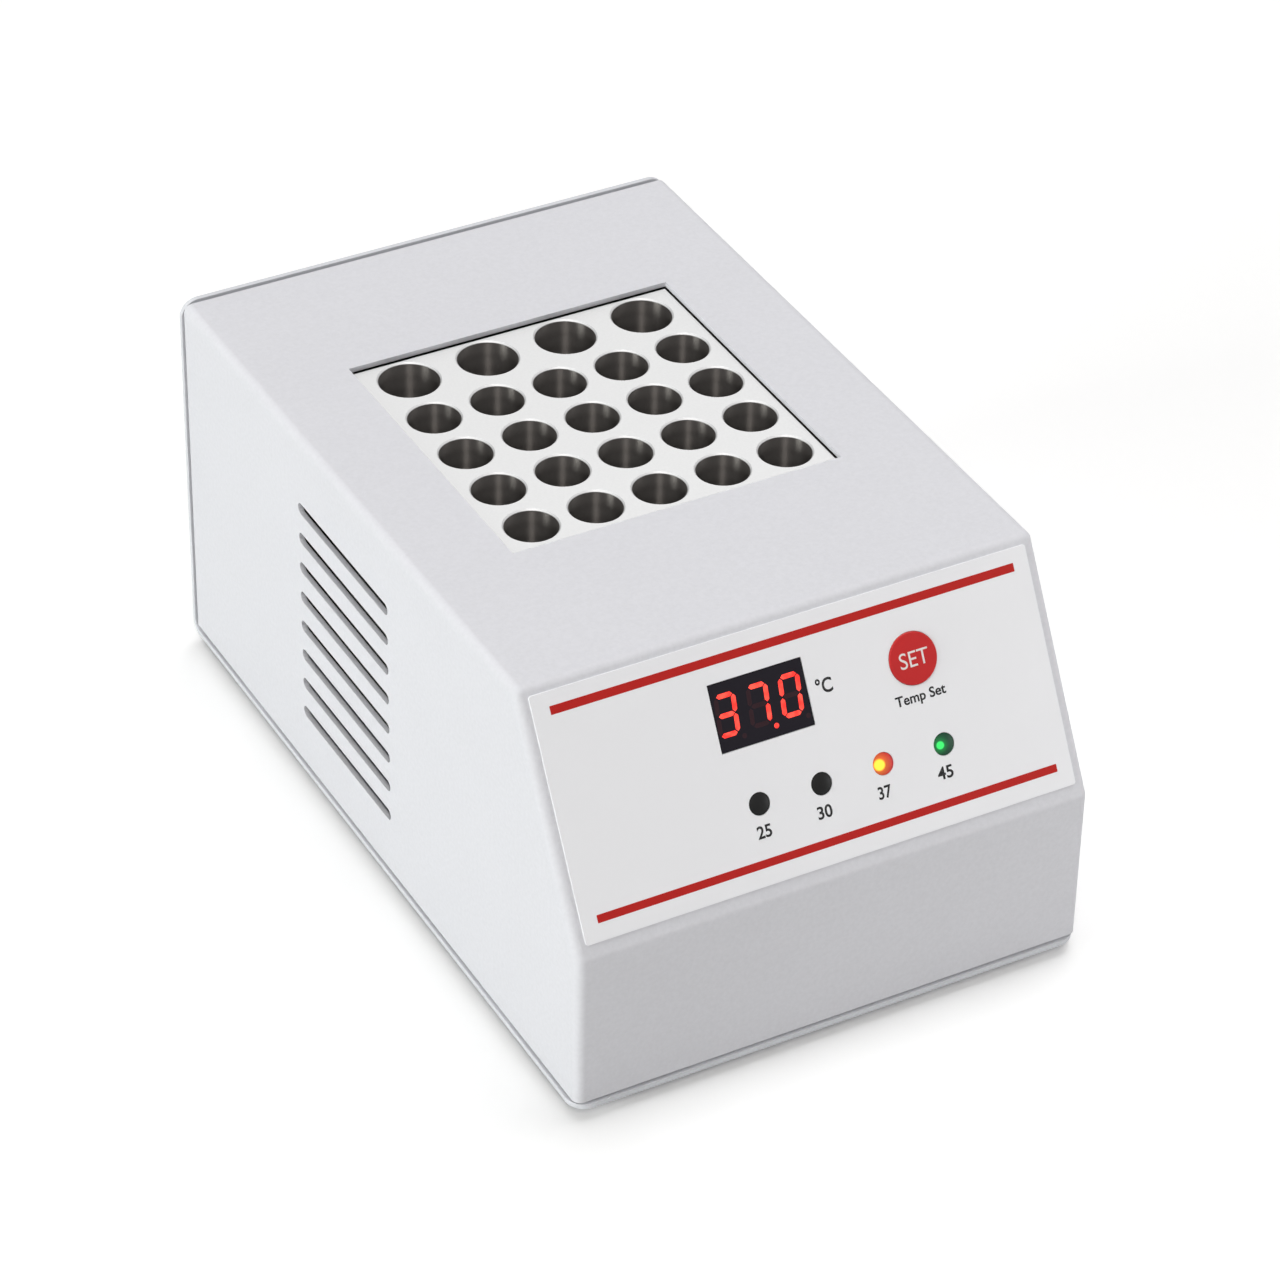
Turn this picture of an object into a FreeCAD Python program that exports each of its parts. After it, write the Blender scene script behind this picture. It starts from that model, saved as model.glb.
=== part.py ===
import FreeCAD, Part
import math
import os

# Dry block heater: a small bench instrument that keeps tubes warm in an aluminium block.
# Millimetres. +X is the user's right, +Y points to the rear, +Z is up.
# The origin is on the table, under the middle of the object's box.

# Cover: one folded sheet-steel hood, open below and behind
COVER_WIDTH = 126.0
COVER_DEPTH = 195.0
COVER_HEIGHT = 90.6
LOWER_FRONT_HEIGHT = 38.9
TOP_FOLD_SETBACK = 29.25
SHEET = 1.2
FOLD_RADIUS = 2.0

# Tray: bottom plate and rear plate, one L-shaped sheet
TRAY_LIP = 0.4
TRAY_GAP = 0.7
TRAY_CORNER_RADIUS = 4.5
TRAY_BEND_RADIUS = 3.4
FOOT_HEIGHT = 3.0

# Window in the cover's top, and the block under it
WINDOW_WIDTH = 81.4
WINDOW_DEPTH = 81.0
WINDOW_SETBACK = 73.0
BLOCK_WIDTH = 90.0
BLOCK_DEPTH = 88.0
BLOCK_HEIGHT = 56.9
BLOCK_RECESS = 1.1
BOSS_SIDE_GAP = 0.7
BOSS_END_GAP = 1.0
BOSS_HEIGHT = 1.5
WELL_DEPTH = 48.0
SMALL_WELL_DIAMETER = 12.2
SMALL_WELL_COLUMNS = 5
SMALL_WELL_ROWS = 4
COLUMN_PITCH = 15.8
ROW_PITCH = 15.7
FIRST_ROW_SETBACK = 81.95
LARGE_WELL_DIAMETER = 14.1
LARGE_WELL_COUNT = 4
LARGE_WELL_PITCH = 19.86
LARGE_ROW_OFFSET = 63.4
WELL_CHAMFER = 0.35
WELL_FLOOR_RADIUS = 2.0

# Vent slots in both side walls
VENT_COUNT = 8
VENT_LENGTH = 45.3
VENT_HEIGHT = 2.9
VENT_PITCH = 8.1
LOWEST_VENT_Z = 20.3
VENT_MIDDLE_SETBACK = 111.75

# Front panel, measured up the slope from the lower fold and across from the middle
LABEL_WIDTH = 120.5
LABEL_BOTTOM = 3.3
LABEL_TOP = 57.4
LABEL_THICKNESS = 0.3
LABEL_CORNER_RADIUS = 0.6
DISPLAY_ACROSS = -9.06
DISPLAY_UP = 40.9
DISPLAY_OPENING_WIDTH = 22.8
DISPLAY_OPENING_HEIGHT = 15.1
DIGIT_PITCH = 7.75
DIGIT_WIDTH = 5.2
DIGIT_HEIGHT = 9.4
SEGMENT_WIDTH = 1.05
DIGIT_SLANT = math.radians(4.5)
KEY_ACROSS = 28.1
KEY_UP = 40.8
KEY_DIAMETER = 11.6
KEY_TRAVEL = 0.5
LAMP_UP = 20.8
LAMP_ACROSS = {"25": -14.5, "30": 0.65, "37": 15.85, "45": 31.0}
LAMP_DIAMETER = 4.9
BOARD_STANDOFF = 8.0
BOARD_THICKNESS = 1.6

# Mains parts on the rear plate
INLET_X = 24.0
INLET_Z = 31.0
INLET_FLANGE_WIDTH = 50.0
INLET_FLANGE_HEIGHT = 40.0
INLET_FLANGE_THICKNESS = 3.0
INLET_BODY_WIDTH = 28.4
INLET_BODY_HEIGHT = 38.0
INLET_BODY_DEPTH = 26.0
INLET_SCREW_SPACING = 40.0
SOCKET_WIDTH = 24.6
SOCKET_HEIGHT = 16.6
SOCKET_DEPTH = 16.0
SOCKET_RISE = 7.5
DRAWER_DROP = 12.0
SWITCH_X = -28.0
SWITCH_Z = 31.0
ROCKER_HALF_ANGLE = 6.0

# Values that follow from the ones above
TOTAL_DEPTH = TRAY_LIP + COVER_DEPTH + TRAY_GAP + SHEET + INLET_FLANGE_THICKNESS
FRONT_Y = TRAY_LIP - TOTAL_DEPTH / 2
COVER_REAR_Y = FRONT_Y + COVER_DEPTH
PLATE_INNER_Y = COVER_REAR_Y + TRAY_GAP
PLATE_OUTER_Y = PLATE_INNER_Y + SHEET
TRAY_TOP_Z = FOOT_HEIGHT + SHEET
COVER_BOTTOM_Z = TRAY_TOP_Z + TRAY_GAP
COVER_TOP_Z = COVER_BOTTOM_Z + COVER_HEIGHT
COVER_INNER_X = COVER_WIDTH / 2 - SHEET
LOWER_FOLD_Z = COVER_BOTTOM_Z + LOWER_FRONT_HEIGHT
SLOPE_ANGLE = math.atan2(COVER_HEIGHT - LOWER_FRONT_HEIGHT, TOP_FOLD_SETBACK)
WINDOW_FRONT_Y = FRONT_Y + WINDOW_SETBACK
BLOCK_MIDDLE_Y = WINDOW_FRONT_Y + WINDOW_DEPTH / 2
BLOCK_TOP_Z = COVER_TOP_Z - BLOCK_RECESS
SHOULDER_Z = BLOCK_TOP_Z - BOSS_HEIGHT
BLOCK_BOTTOM_Z = BLOCK_TOP_Z - BLOCK_HEIGHT
BLOCK_FRONT_Y = BLOCK_MIDDLE_Y - BLOCK_DEPTH / 2
BLOCK_REAR_Y = BLOCK_MIDDLE_Y + BLOCK_DEPTH / 2
FIRST_ROW_Y = FRONT_Y + FIRST_ROW_SETBACK
BOARD_FRONT_W = -BOARD_STANDOFF
BOARD_BACK_W = -BOARD_STANDOFF - BOARD_THICKNESS

# Heater stack under the block
MAT_THICKNESS = 1.5
HEATER_LEAD_X = -10.0
HEATER_LEAD_SPREAD = 2.5
HEATER_TAB_LENGTH = 4.0
CLAMP_THICKNESS = 3.0
FLOOR_INSULATION_THICKNESS = 6.0
JACKET_GAP = 0.5
JACKET_WALL = 8.0
JACKET_REAR_WALL = 5.0
MAT_BOTTOM_Z = BLOCK_BOTTOM_Z - MAT_THICKNESS
CLAMP_BOTTOM_Z = MAT_BOTTOM_Z - CLAMP_THICKNESS
INSULATION_BOTTOM_Z = CLAMP_BOTTOM_Z - FLOOR_INSULATION_THICKNESS
POST_X = 36.0
POST_Y_OFFSET = 35.0
POST_DIAMETER = 8.0
POST_TAPPING_DEPTH = 9.0
POST_SCREW_BITE = 7.5
STUD_DIAMETER = 4.0
STUD_BITE = 5.5
SENSOR_X = 8.0
SENSOR_Z = BLOCK_BOTTOM_Z + 3.8
SENSOR_DIAMETER = 3.0
SENSOR_LENGTH = 34.0
SENSOR_BORE_DEPTH = 24.0
CUTOUT_X = -14.0
CUTOUT_DIAMETER = 15.0
CUTOUT_HEIGHT = 9.0
CUTOUT_RIM_HEIGHT = 5.0
CUTOUT_TAB_SPREAD = 4.5
CUTOUT_TAB_LENGTH = 5.0
CUTOUT_TAB_HALF_WIDTH = 3.0

# Power board in the front of the case
POWER_BOARD_X = 46.0
POWER_BOARD_FRONT_Y = FRONT_Y + 6.5
POWER_BOARD_REAR_Y = FRONT_Y + 50.5
POWER_SCREW_X = 28.0
POWER_SPACER_HEIGHT = 6.0
POWER_BOARD_Z = TRAY_TOP_Z + POWER_SPACER_HEIGHT
POWER_TOP_Z = POWER_BOARD_Z + BOARD_THICKNESS
CONNECTOR_Z = POWER_TOP_Z + 3.2

# Fasteners: metric screws, modelled without threads
M3 = 3.0
M3_HOLE = 3.4
M3_HEAD = 5.6
M3_HEAD_HEIGHT = 1.8
M3_NUT_ACROSS = 5.5
M3_NUT_HEIGHT = 2.4
M4_HEAD = 7.0
M4_HEAD_HEIGHT = 2.2
M4_HOLE = 4.4
HEX_KEY_ACROSS = 2.0
FIT = 0.1

V = FreeCAD.Vector
X_AXIS = V(1, 0, 0)
Y_AXIS = V(0, 1, 0)
Z_AXIS = V(0, 0, 1)

# Places of the feet, brackets, posts and screws on the left; the right mirrors them
FOOT_X = 50.0
FOOT_INSET = 14.0
BRACKET_FRONT_INSET = 38.0
BRACKET_REAR_INSET = 33.0
BRACKET_SCREW_INSET = 8.5
POWER_SCREW_INSET = 4.0
FOOT_PLACES = [V(-FOOT_X, FRONT_Y + FOOT_INSET, 0), V(-FOOT_X, COVER_REAR_Y - FOOT_INSET, 0)]
BRACKET_PLACES = [V(-COVER_INNER_X, FRONT_Y + BRACKET_FRONT_INSET, TRAY_TOP_Z),
                  V(-COVER_INNER_X, COVER_REAR_Y - BRACKET_REAR_INSET, TRAY_TOP_Z)]
POST_PLACES = [V(-POST_X, BLOCK_MIDDLE_Y - POST_Y_OFFSET, 0), V(-POST_X, BLOCK_MIDDLE_Y + POST_Y_OFFSET, 0)]
POWER_SCREW_PLACES = [V(-POWER_SCREW_X, POWER_BOARD_FRONT_Y + POWER_SCREW_INSET, 0),
                      V(-POWER_SCREW_X, POWER_BOARD_REAR_Y - POWER_SCREW_INSET, 0)]
EARTH_STUD_PLACE = V(3, 84, TRAY_TOP_Z)

# Rubber feet
FOOT_DIAMETER = 14.0
FOOT_SCREW_SEAT = 1.6
FOOT_SCREW_HEAD_HEIGHT = 1.4
FOOT_RECESS_DIAMETER = 6.4
SCREW_TIP = 1.0

# Cover brackets
BRACKET_THICKNESS = 1.5
BRACKET_LENGTH = 15.0
BRACKET_REACH = 14.0
BRACKET_RISE = 13.0

# Set key, and the key switch under it
KEY_RISE = 0.3
KEY_EDGE_RADIUS = 0.25
KEY_COLLAR_RIM = 1.3
KEY_COLLAR_THICKNESS = 0.8
KEY_STEM_DIAMETER = 4.0
KEY_SWITCH_HALF = 3.0
KEY_SWITCH_FLOOR = 1.2
SWITCH_HOUSING_HEIGHT = 3.5
PLUNGER_RISE = 1.5
PLUNGER_DIAMETER = 3.4

# Display block, lamps and the display's seven-bar figures
DISPLAY_SINK = 0.2
DISPLAY_PLAY = 0.15
LAMP_SHOULDER = 0.2
LAMP_CROWN = 0.45
LAMP_RIM = 0.45
LAMP_RIM_HEIGHT = 1.0
SEGMENT_DEPTH = 0.6
SEGMENT_GAP = 0.18
DOT_DIAMETER = 1.15
DIGIT_BASE_UP = -4.45
# Bars of a digit: 0 lower, 1 middle, 2 upper, 3 and 4 left, 5 and 6 right
LIT_BARS = ((0, 1, 2, 5, 6), (2, 5, 6), (0, 2, 3, 4, 5, 6))
LIT_DOT = 1
DOT_OFFSET = (2.95, -5.4)
FIRST_DIGIT_ACROSS = -8.2

# Control board behind the slope
CHIP_HALF = 5.0
CHIP_UP = 33.0
CHIP_HEIGHT = 1.6
SLEEVE_DIAMETER = 6.0
CONTROL_BOARD_HALF = 44.0
CONTROL_BOARD_BOTTOM = 13.0
CONTROL_BOARD_TOP = 51.0
STUD_ACROSS = 39.5
STUD_UP = (17.0, 47.0)

# Ribbon cable and its plugs
RIBBON_X = (-26.0, -14.0)
RIBBON_UP = 18.0
RIBBON_FOOT_Y = FRONT_Y + 19.0
RIBBON_THICKNESS = 0.9
HEADER_HEIGHT = 6.0
HEADER_HALF = 3.0

# Transformer
TRANSFORMER_MIDDLE = V(16, FRONT_Y + 26, POWER_TOP_Z)
CORE_HALF_WIDTH = 20.0
CORE_HALF_STACK = 9.0
CORE_HEIGHT = 30.0
CORE_WINDOW = (6.0, 13.6)
CORE_YOKE = 6.0
COIL_HALF_STACK = 15.0

# Other parts of the power board
CAPACITOR_X = (-14.0, -26.0)
CAPACITOR_Y = FRONT_Y + 36.0
CAPACITOR_DIAMETER = 11.0
CAPACITOR_HEIGHT = 18.0
RELAY_X = (-12.0, -6.0)
RELAY_Y = FRONT_Y + 14.0
RELAY_LENGTH = 14.0
RELAY_HEIGHT = 16.0
TERMINAL_X = (-44.0, -32.0)
TERMINAL_REAR_Y = POWER_BOARD_REAR_Y - 9.0
TERMINAL_SIZE = 9.0
SOCKET_INSET = 1.0
PLUG_DEPTH = 6.0
PLUG_HEIGHT = 6.4
HEATER_PLUG_HALF = 5.0
SENSOR_PLUG_HALF = 3.0

# Inlet: socket corners, countersunk screws, fuse drawer and its shell
SOCKET_CORNER_CUT = 4.2
COUNTERSINK_DEPTH = 1.7
COUNTERSINK_DIAMETER = 5.8
COUNTERSINK_SINK = 0.2
FLANGE_CORNER_RADIUS = 4.0
FLANGE_EDGE_RADIUS = 0.6
CONTACT_SPACE = 1.4
CONTACT_HALF_WIDTH = 1.8
CONTACT_LENGTH = 4.0
CONTACT_THICKNESS = 1.0
PULL_NOTCH_HALF_WIDTH = 5.0
PULL_NOTCH_DEPTH = 1.2
PULL_NOTCH_HEIGHT = 1.8
DRAWER_Z = INLET_Z - DRAWER_DROP
DRAWER_HALF_WIDTH = 11.0
DRAWER_BOTTOM = -4.8
DRAWER_TOP = 4.0
DRAWER_FRONT_HALF_WIDTH = 12.2
DRAWER_FRONT_HALF_HEIGHT = 5.9
DRAWER_FRONT_THICKNESS = 2.0
DRAWER_LENGTH = 23.0
FLANGE_FACE_Y = PLATE_OUTER_Y + INLET_FLANGE_THICKNESS
DRAWER_PLAY = 0.3

# Inlet blades
BLADE_TAIL_Y = 66.5
BLADE_SPREAD = 7.0
BLADE_HALF_WIDTH = 1.0
BLADE_HALF_HEIGHT = 2.0
LINE_TIP_DEPTH = 3.0
EARTH_TIP_DEPTH = 1.5
LINE_BLADE_Z = INLET_Z + SOCKET_RISE - 2.0
EARTH_BLADE_Z = INLET_Z + SOCKET_RISE + 2.0

# Fuses, 5 x 20 mm
FUSE_DIAMETER = 5.2
FUSE_LENGTH = 20.0
FUSE_SPREAD = 5.4
FUSE_RISE = 1.7

# Mains switch
SWITCH_BODY_WIDTH = 12.8
SWITCH_BODY_HEIGHT = 19.2
SWITCH_BODY_DEPTH = 14.0
SWITCH_BEZEL_WIDTH = 15.4
SWITCH_BEZEL_HEIGHT = 22.0
SWITCH_BEZEL_THICKNESS = 1.2
ROCKER_WIDTH = 10.0
ROCKER_HALF_LENGTH = 8.0
ROCKER_PIVOT_DEPTH = 4.15
ROCKER_VERTEX = 5.4
ROCKER_SKIRT = 1.8
ROCKER_KEEL = 2.6
ROCKER_KEEL_HALF = 3.0
ROCKER_TAPER = 0.4
SWITCH_WELL_HALF = 8.9
SWITCH_WELL_BELOW_PIVOT = 4.5
TRUNNION_DIAMETER = 2.4
TRUNNION_PLAY = 0.05

# Tabs of the mains switch
SWITCH_TAB_SPREAD = 3.2
SWITCH_TAB_RISE = 5.0
SWITCH_TAB_LENGTH = 10.0
SWITCH_TAB_HALF_WIDTH = 0.4
SWITCH_TAB_HALF_HEIGHT = 2.4
SWITCH_TAB_TAIL_Y = PLATE_OUTER_Y - SWITCH_BODY_DEPTH - 7

# Earth stud, its nut and the ring on it
EARTH_STUD_HEIGHT = 9.0
RING_GAP = 0.2
RING_THICKNESS = 1.0
RING_DIAMETER = 9.0
RING_TONGUE_HALF = 2.5
RING_TONGUE_LENGTH = 9.0
CRIMP_OFFSET = 7.0
CRIMP_DIAMETER = 3.6
CRIMP_HEIGHT = 6.0
M4_NUT_ACROSS = 7.0
M4_NUT_HEIGHT = 3.2

# Leads
MAINS_LEAD_DIAMETER = 2.2
HEATER_LEAD_DIAMETER = 1.4
SENSOR_LEAD_DIAMETER = 1.6
LEAD_DROP = 5.5
LEAD_RADIUS = 4.0
HEATER_LEAD_RADIUS = 2.0
TAIL_Y = BLADE_TAIL_Y + 2.0


def box(x0, x1, y0, y1, z0, z1):
    """A box between two corners."""
    return Part.makeBox(x1 - x0, y1 - y0, z1 - z0, V(x0, y0, z0))


def rod(start, axis, diameter, length):
    """A round bar from start along axis."""
    return Part.makeCylinder(diameter / 2, length, start, axis)


def prism(points, direction):
    """A flat outline, extruded along direction."""
    outline = Part.makePolygon(points + [points[0]])
    return Part.Face(outline).extrude(direction)


def hexagon(centre, axis, across, length):
    """A hexagonal bar, such as a nut, from centre along axis."""
    side = V(0, 0, 1) if abs(axis.z) < 0.5 else V(1, 0, 0)
    other = axis.cross(side)
    reach = across / math.sqrt(3)
    corners = []
    for step in range(6):
        turn = math.radians(60 * step)
        corners.append(centre + side * (reach * math.cos(turn)) + other * (reach * math.sin(turn)))
    return prism(corners, axis * length)


def nut(centre, axis, bore=M3_HOLE, across=M3_NUT_ACROSS, height=M3_NUT_HEIGHT):
    """A hexagon nut standing on centre."""
    return hexagon(centre, axis, across, height).cut(rod(centre, axis, bore, height))


def screw(seat, axis, length, shank=M3, head=M3_HEAD, head_height=M3_HEAD_HEIGHT):
    """A pan-head screw: its head stands back from seat, its shank runs along axis."""
    bolt = rod(seat - axis * head_height, axis, head, head_height)
    bolt = bolt.fuse(rod(seat, axis, shank, length))
    key = hexagon(seat - axis * head_height, axis, HEX_KEY_ACROSS, head_height * 0.6)
    return bolt.cut(key).removeSplitter()


def side_fillet(solid, radius, chosen):
    """Rounds the straight edges that chosen picks by their middle point and direction."""
    edges = []
    for edge in solid.Edges:
        middle = edge.valueAt((edge.FirstParameter + edge.LastParameter) / 2)
        along = edge.tangentAt((edge.FirstParameter + edge.LastParameter) / 2)
        if chosen(middle, along):
            edges.append(edge)
    return solid.makeFillet(radius, edges)


def on_panel(shape):
    """Moves a shape from the panel's own frame (across, up the slope, outward) into place."""
    turn = FreeCAD.Rotation(X_AXIS, math.degrees(SLOPE_ANGLE))
    placed = shape.copy()
    placed.Placement = FreeCAD.Placement(V(0, FRONT_Y, LOWER_FOLD_Z), turn).multiply(placed.Placement)
    return placed


def panel_point(across, up, out):
    """A point of the panel's frame, in the object's frame."""
    cosine = math.cos(SLOPE_ANGLE)
    sine = math.sin(SLOPE_ANGLE)
    return V(across, FRONT_Y + up * cosine - out * sine, LOWER_FOLD_Z + up * sine + out * cosine)


def path_wire(points, radius):
    """Straight runs joined by tangent arcs of one radius."""
    edges = []
    start = points[0]
    for before, corner, after in zip(points, points[1:], points[2:]):
        into = (corner - before).normalize()
        out = (after - corner).normalize()
        half_turn = into.getAngle(out) / 2
        cut_back = radius * math.tan(half_turn)
        arc_start = corner - into * cut_back
        arc_end = corner + out * cut_back
        inward = (out - into).normalize()
        arc_middle = corner + inward * (radius / math.cos(half_turn) - radius)
        edges.append(Part.LineSegment(start, arc_start).toShape())
        edges.append(Part.Arc(arc_start, arc_middle, arc_end).toShape())
        start = arc_end
    edges.append(Part.LineSegment(start, points[-1]).toShape())
    return Part.Wire(edges)


def lead(points, diameter, radius):
    """One insulated wire along a path."""
    path = path_wire(points, radius)
    direction = (points[1] - points[0]).normalize()
    section = Part.Wire([Part.makeCircle(diameter / 2, points[0], direction)])
    tube = path.makePipeShell([section], True, False)
    return tube


def mirrored_x(shapes):
    """The shapes and their mirror images across the middle plane."""
    return shapes + [shape.mirror(V(0, 0, 0), X_AXIS) for shape in shapes]


# Case


def cover_outline(inset, below, behind):
    """Side outline of the cover moved in by inset, and run on below and behind."""
    sine = math.sin(SLOPE_ANGLE)
    cosine = math.cos(SLOPE_ANGLE)
    front = FRONT_Y + inset
    top = COVER_TOP_Z - inset
    fold_z = LOWER_FOLD_Z - inset * (1 - sine) / cosine
    fold_y = FRONT_Y + TOP_FOLD_SETBACK + inset * (1 - cosine) / sine
    bottom = COVER_BOTTOM_Z - below
    rear = COVER_REAR_Y + behind
    return [(front, bottom), (front, fold_z), (fold_y, top), (rear, top), (rear, bottom)]


def cover_solid(inset, below, behind):
    """The cover's full form, with every fold rounded."""
    half = COVER_WIDTH / 2 - inset
    outline = [V(-half, y, z) for y, z in cover_outline(inset, below, behind)]
    solid = prism(outline, V(2 * half, 0, 0))
    bottom = COVER_BOTTOM_Z - below
    rear = COVER_REAR_Y + behind

    def is_fold(middle, along):
        return middle.z > bottom + FIT and middle.y < rear - FIT

    return side_fillet(solid, FOLD_RADIUS - inset, is_fold)


def vent_slot(side, z):
    """One round-ended slot through a side wall."""
    inner = COVER_INNER_X - 1
    outer = COVER_WIDTH / 2 + 1
    x0 = min(side * inner, side * outer)
    middle_y = FRONT_Y + VENT_MIDDLE_SETBACK
    run = VENT_LENGTH / 2 - VENT_HEIGHT / 2
    depth = outer - inner
    slot = box(x0, x0 + depth, middle_y - run, middle_y + run, z - VENT_HEIGHT / 2, z + VENT_HEIGHT / 2)
    for end in (-run, run):
        slot = slot.fuse(rod(V(x0, middle_y + end, z), X_AXIS, VENT_HEIGHT, depth))
    return slot


def panel_openings(bottom, top, grow):
    """The display opening, the key hole and the lamp holes, as one cutting tool."""
    height = top - bottom
    half_width = DISPLAY_OPENING_WIDTH / 2 + grow
    half_height = DISPLAY_OPENING_HEIGHT / 2 + grow
    tool = box(DISPLAY_ACROSS - half_width, DISPLAY_ACROSS + half_width,
               DISPLAY_UP - half_height, DISPLAY_UP + half_height, bottom, top)
    key_hole = KEY_DIAMETER + 2 * FIT + 2 * grow
    tool = tool.fuse(rod(V(KEY_ACROSS, KEY_UP, bottom), Z_AXIS, key_hole, height))
    for across in LAMP_ACROSS.values():
        tool = tool.fuse(rod(V(across, LAMP_UP, bottom), Z_AXIS, LAMP_DIAMETER + 2 * FIT + 2 * grow, height))
    return tool


def cover_shell():
    """The painted hood with its window, vents and panel openings."""
    run_out = 5.0
    shell = cover_solid(0.0, 0.0, 0.0).cut(cover_solid(SHEET, run_out, run_out))
    half = WINDOW_WIDTH / 2
    window = box(-half, half, WINDOW_FRONT_Y, WINDOW_FRONT_Y + WINDOW_DEPTH, COVER_TOP_Z - 3, COVER_TOP_Z + 1)
    shell = shell.cut(window)
    for side in (-1, 1):
        for number in range(VENT_COUNT):
            shell = shell.cut(vent_slot(side, LOWEST_VENT_Z + number * VENT_PITCH))
    return shell.cut(on_panel(panel_openings(-3.0, 1.0, 0.0)))


def both_sides(places):
    """Each place and the same place on the other side."""
    return places + [V(-place.x, place.y, place.z) for place in places]


def tray_outline():
    """Side outline of the L-shaped tray, with its bend."""
    front = FRONT_Y - TRAY_LIP
    outer = TRAY_BEND_RADIUS
    inner = TRAY_BEND_RADIUS - SHEET
    top = COVER_TOP_Z + TRAY_LIP
    centre = V(0, PLATE_OUTER_Y - outer, FOOT_HEIGHT + outer)
    diagonal = V(0, math.sqrt(0.5), -math.sqrt(0.5))
    points = [V(0, front, FOOT_HEIGHT), V(0, centre.y, FOOT_HEIGHT), V(0, PLATE_OUTER_Y, centre.z),
              V(0, PLATE_OUTER_Y, top), V(0, PLATE_INNER_Y, top), V(0, PLATE_INNER_Y, centre.z),
              V(0, centre.y, TRAY_TOP_Z), V(0, front, TRAY_TOP_Z)]
    edges = []
    for number, start in enumerate(points):
        end = points[(number + 1) % len(points)]
        if number == 1:
            edges.append(Part.Arc(start, centre + diagonal * outer, end).toShape())
        elif number == 5:
            edges.append(Part.Arc(start, centre + diagonal * inner, end).toShape())
        else:
            edges.append(Part.LineSegment(start, end).toShape())
    return Part.Wire(edges)


def base_tray():
    """The bottom and rear plates with rounded corners and all their holes."""
    half = COVER_WIDTH / 2 + TRAY_LIP
    tray = Part.Face(tray_outline()).extrude(V(2 * half, 0, 0))
    tray.translate(V(-half, 0, 0))
    front = FRONT_Y - TRAY_LIP
    top = COVER_TOP_Z + TRAY_LIP

    def is_corner(middle, along):
        at_front = abs(middle.y - front) < FIT and abs(along.z) > 0.9
        at_top = abs(middle.z - top) < FIT and abs(along.y) > 0.9
        return at_front or at_top

    tray = side_fillet(tray, TRAY_CORNER_RADIUS, is_corner)
    screw_places = both_sides(FOOT_PLACES + POWER_SCREW_PLACES)
    for place in BRACKET_PLACES:
        screw_places += both_sides([V(place.x + BRACKET_SCREW_INSET, place.y, 0)])
    for place in screw_places:
        tray = tray.cut(rod(V(place.x, place.y, FOOT_HEIGHT - 1), Z_AXIS, M3_HOLE, SHEET + 2))
    for place in both_sides(POST_PLACES):
        tray = tray.cut(rod(V(place.x, place.y, FOOT_HEIGHT - 1), Z_AXIS, M4_HOLE, SHEET + 2))
    tray = tray.cut(rod(EARTH_STUD_PLACE - Z_AXIS * 2, Z_AXIS, M4_HOLE, SHEET + 2))
    half_width = INLET_BODY_WIDTH / 2 + 2 * FIT
    half_height = INLET_BODY_HEIGHT / 2 + 2 * FIT
    tray = tray.cut(box(INLET_X - half_width, INLET_X + half_width, PLATE_INNER_Y - 1, PLATE_OUTER_Y + 1,
                        INLET_Z - half_height, INLET_Z + half_height))
    for side in (-1, 1):
        start = V(INLET_X + side * INLET_SCREW_SPACING / 2, PLATE_INNER_Y - 1, INLET_Z + SOCKET_RISE)
        tray = tray.cut(rod(start, Y_AXIS, M3_HOLE, SHEET + 2))
    half_width = SWITCH_BODY_WIDTH / 2 + FIT
    half_height = SWITCH_BODY_HEIGHT / 2 + FIT
    return tray.cut(box(SWITCH_X - half_width, SWITCH_X + half_width, PLATE_INNER_Y - 1, PLATE_OUTER_Y + 1,
                        SWITCH_Z - half_height, SWITCH_Z + half_height))


def rubber_feet():
    """Four round feet, each with a recess for its screw."""
    feet = []
    for place in both_sides(FOOT_PLACES):
        foot = rod(place, Z_AXIS, FOOT_DIAMETER, FOOT_HEIGHT)
        foot = foot.cut(rod(place, Z_AXIS, FOOT_RECESS_DIAMETER, FOOT_SCREW_SEAT))
        feet.append(foot.cut(rod(place, Z_AXIS, M3_HOLE, FOOT_HEIGHT)))
    return feet


def foot_screws():
    """Screws that hold the feet to the tray."""
    length = TRAY_TOP_Z - FOOT_SCREW_SEAT + M3_NUT_HEIGHT + SCREW_TIP
    return [screw(place + Z_AXIS * FOOT_SCREW_SEAT, Z_AXIS, length, head_height=FOOT_SCREW_HEAD_HEIGHT)
            for place in both_sides(FOOT_PLACES)]


def cover_bracket(place):
    """An L-shaped bracket welded inside the left wall, standing on the tray."""
    y0 = place.y - BRACKET_LENGTH / 2
    y1 = place.y + BRACKET_LENGTH / 2
    foot = box(place.x, place.x + BRACKET_REACH, y0, y1, place.z, place.z + BRACKET_THICKNESS)
    leg = box(place.x, place.x + BRACKET_THICKNESS, y0, y1, place.z, place.z + BRACKET_RISE)
    hole = rod(V(place.x + BRACKET_SCREW_INSET, place.y, place.z), Z_AXIS, M3_HOLE, BRACKET_THICKNESS)
    return foot.fuse(leg).removeSplitter().cut(hole)


def cover_brackets():
    """Four brackets that carry the cover and hold its gap above the tray."""
    return mirrored_x([cover_bracket(place) for place in BRACKET_PLACES])


def bracket_screw_places():
    """The four screw places of the brackets, on the tray's top."""
    return both_sides([V(place.x + BRACKET_SCREW_INSET, place.y, place.z) for place in BRACKET_PLACES])


def cover_screws():
    """Screws from below, through the tray and the brackets."""
    length = SHEET + BRACKET_THICKNESS + M3_NUT_HEIGHT + SCREW_TIP
    return [screw(place - Z_AXIS * SHEET, Z_AXIS, length) for place in bracket_screw_places()]


# Block and heater


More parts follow.
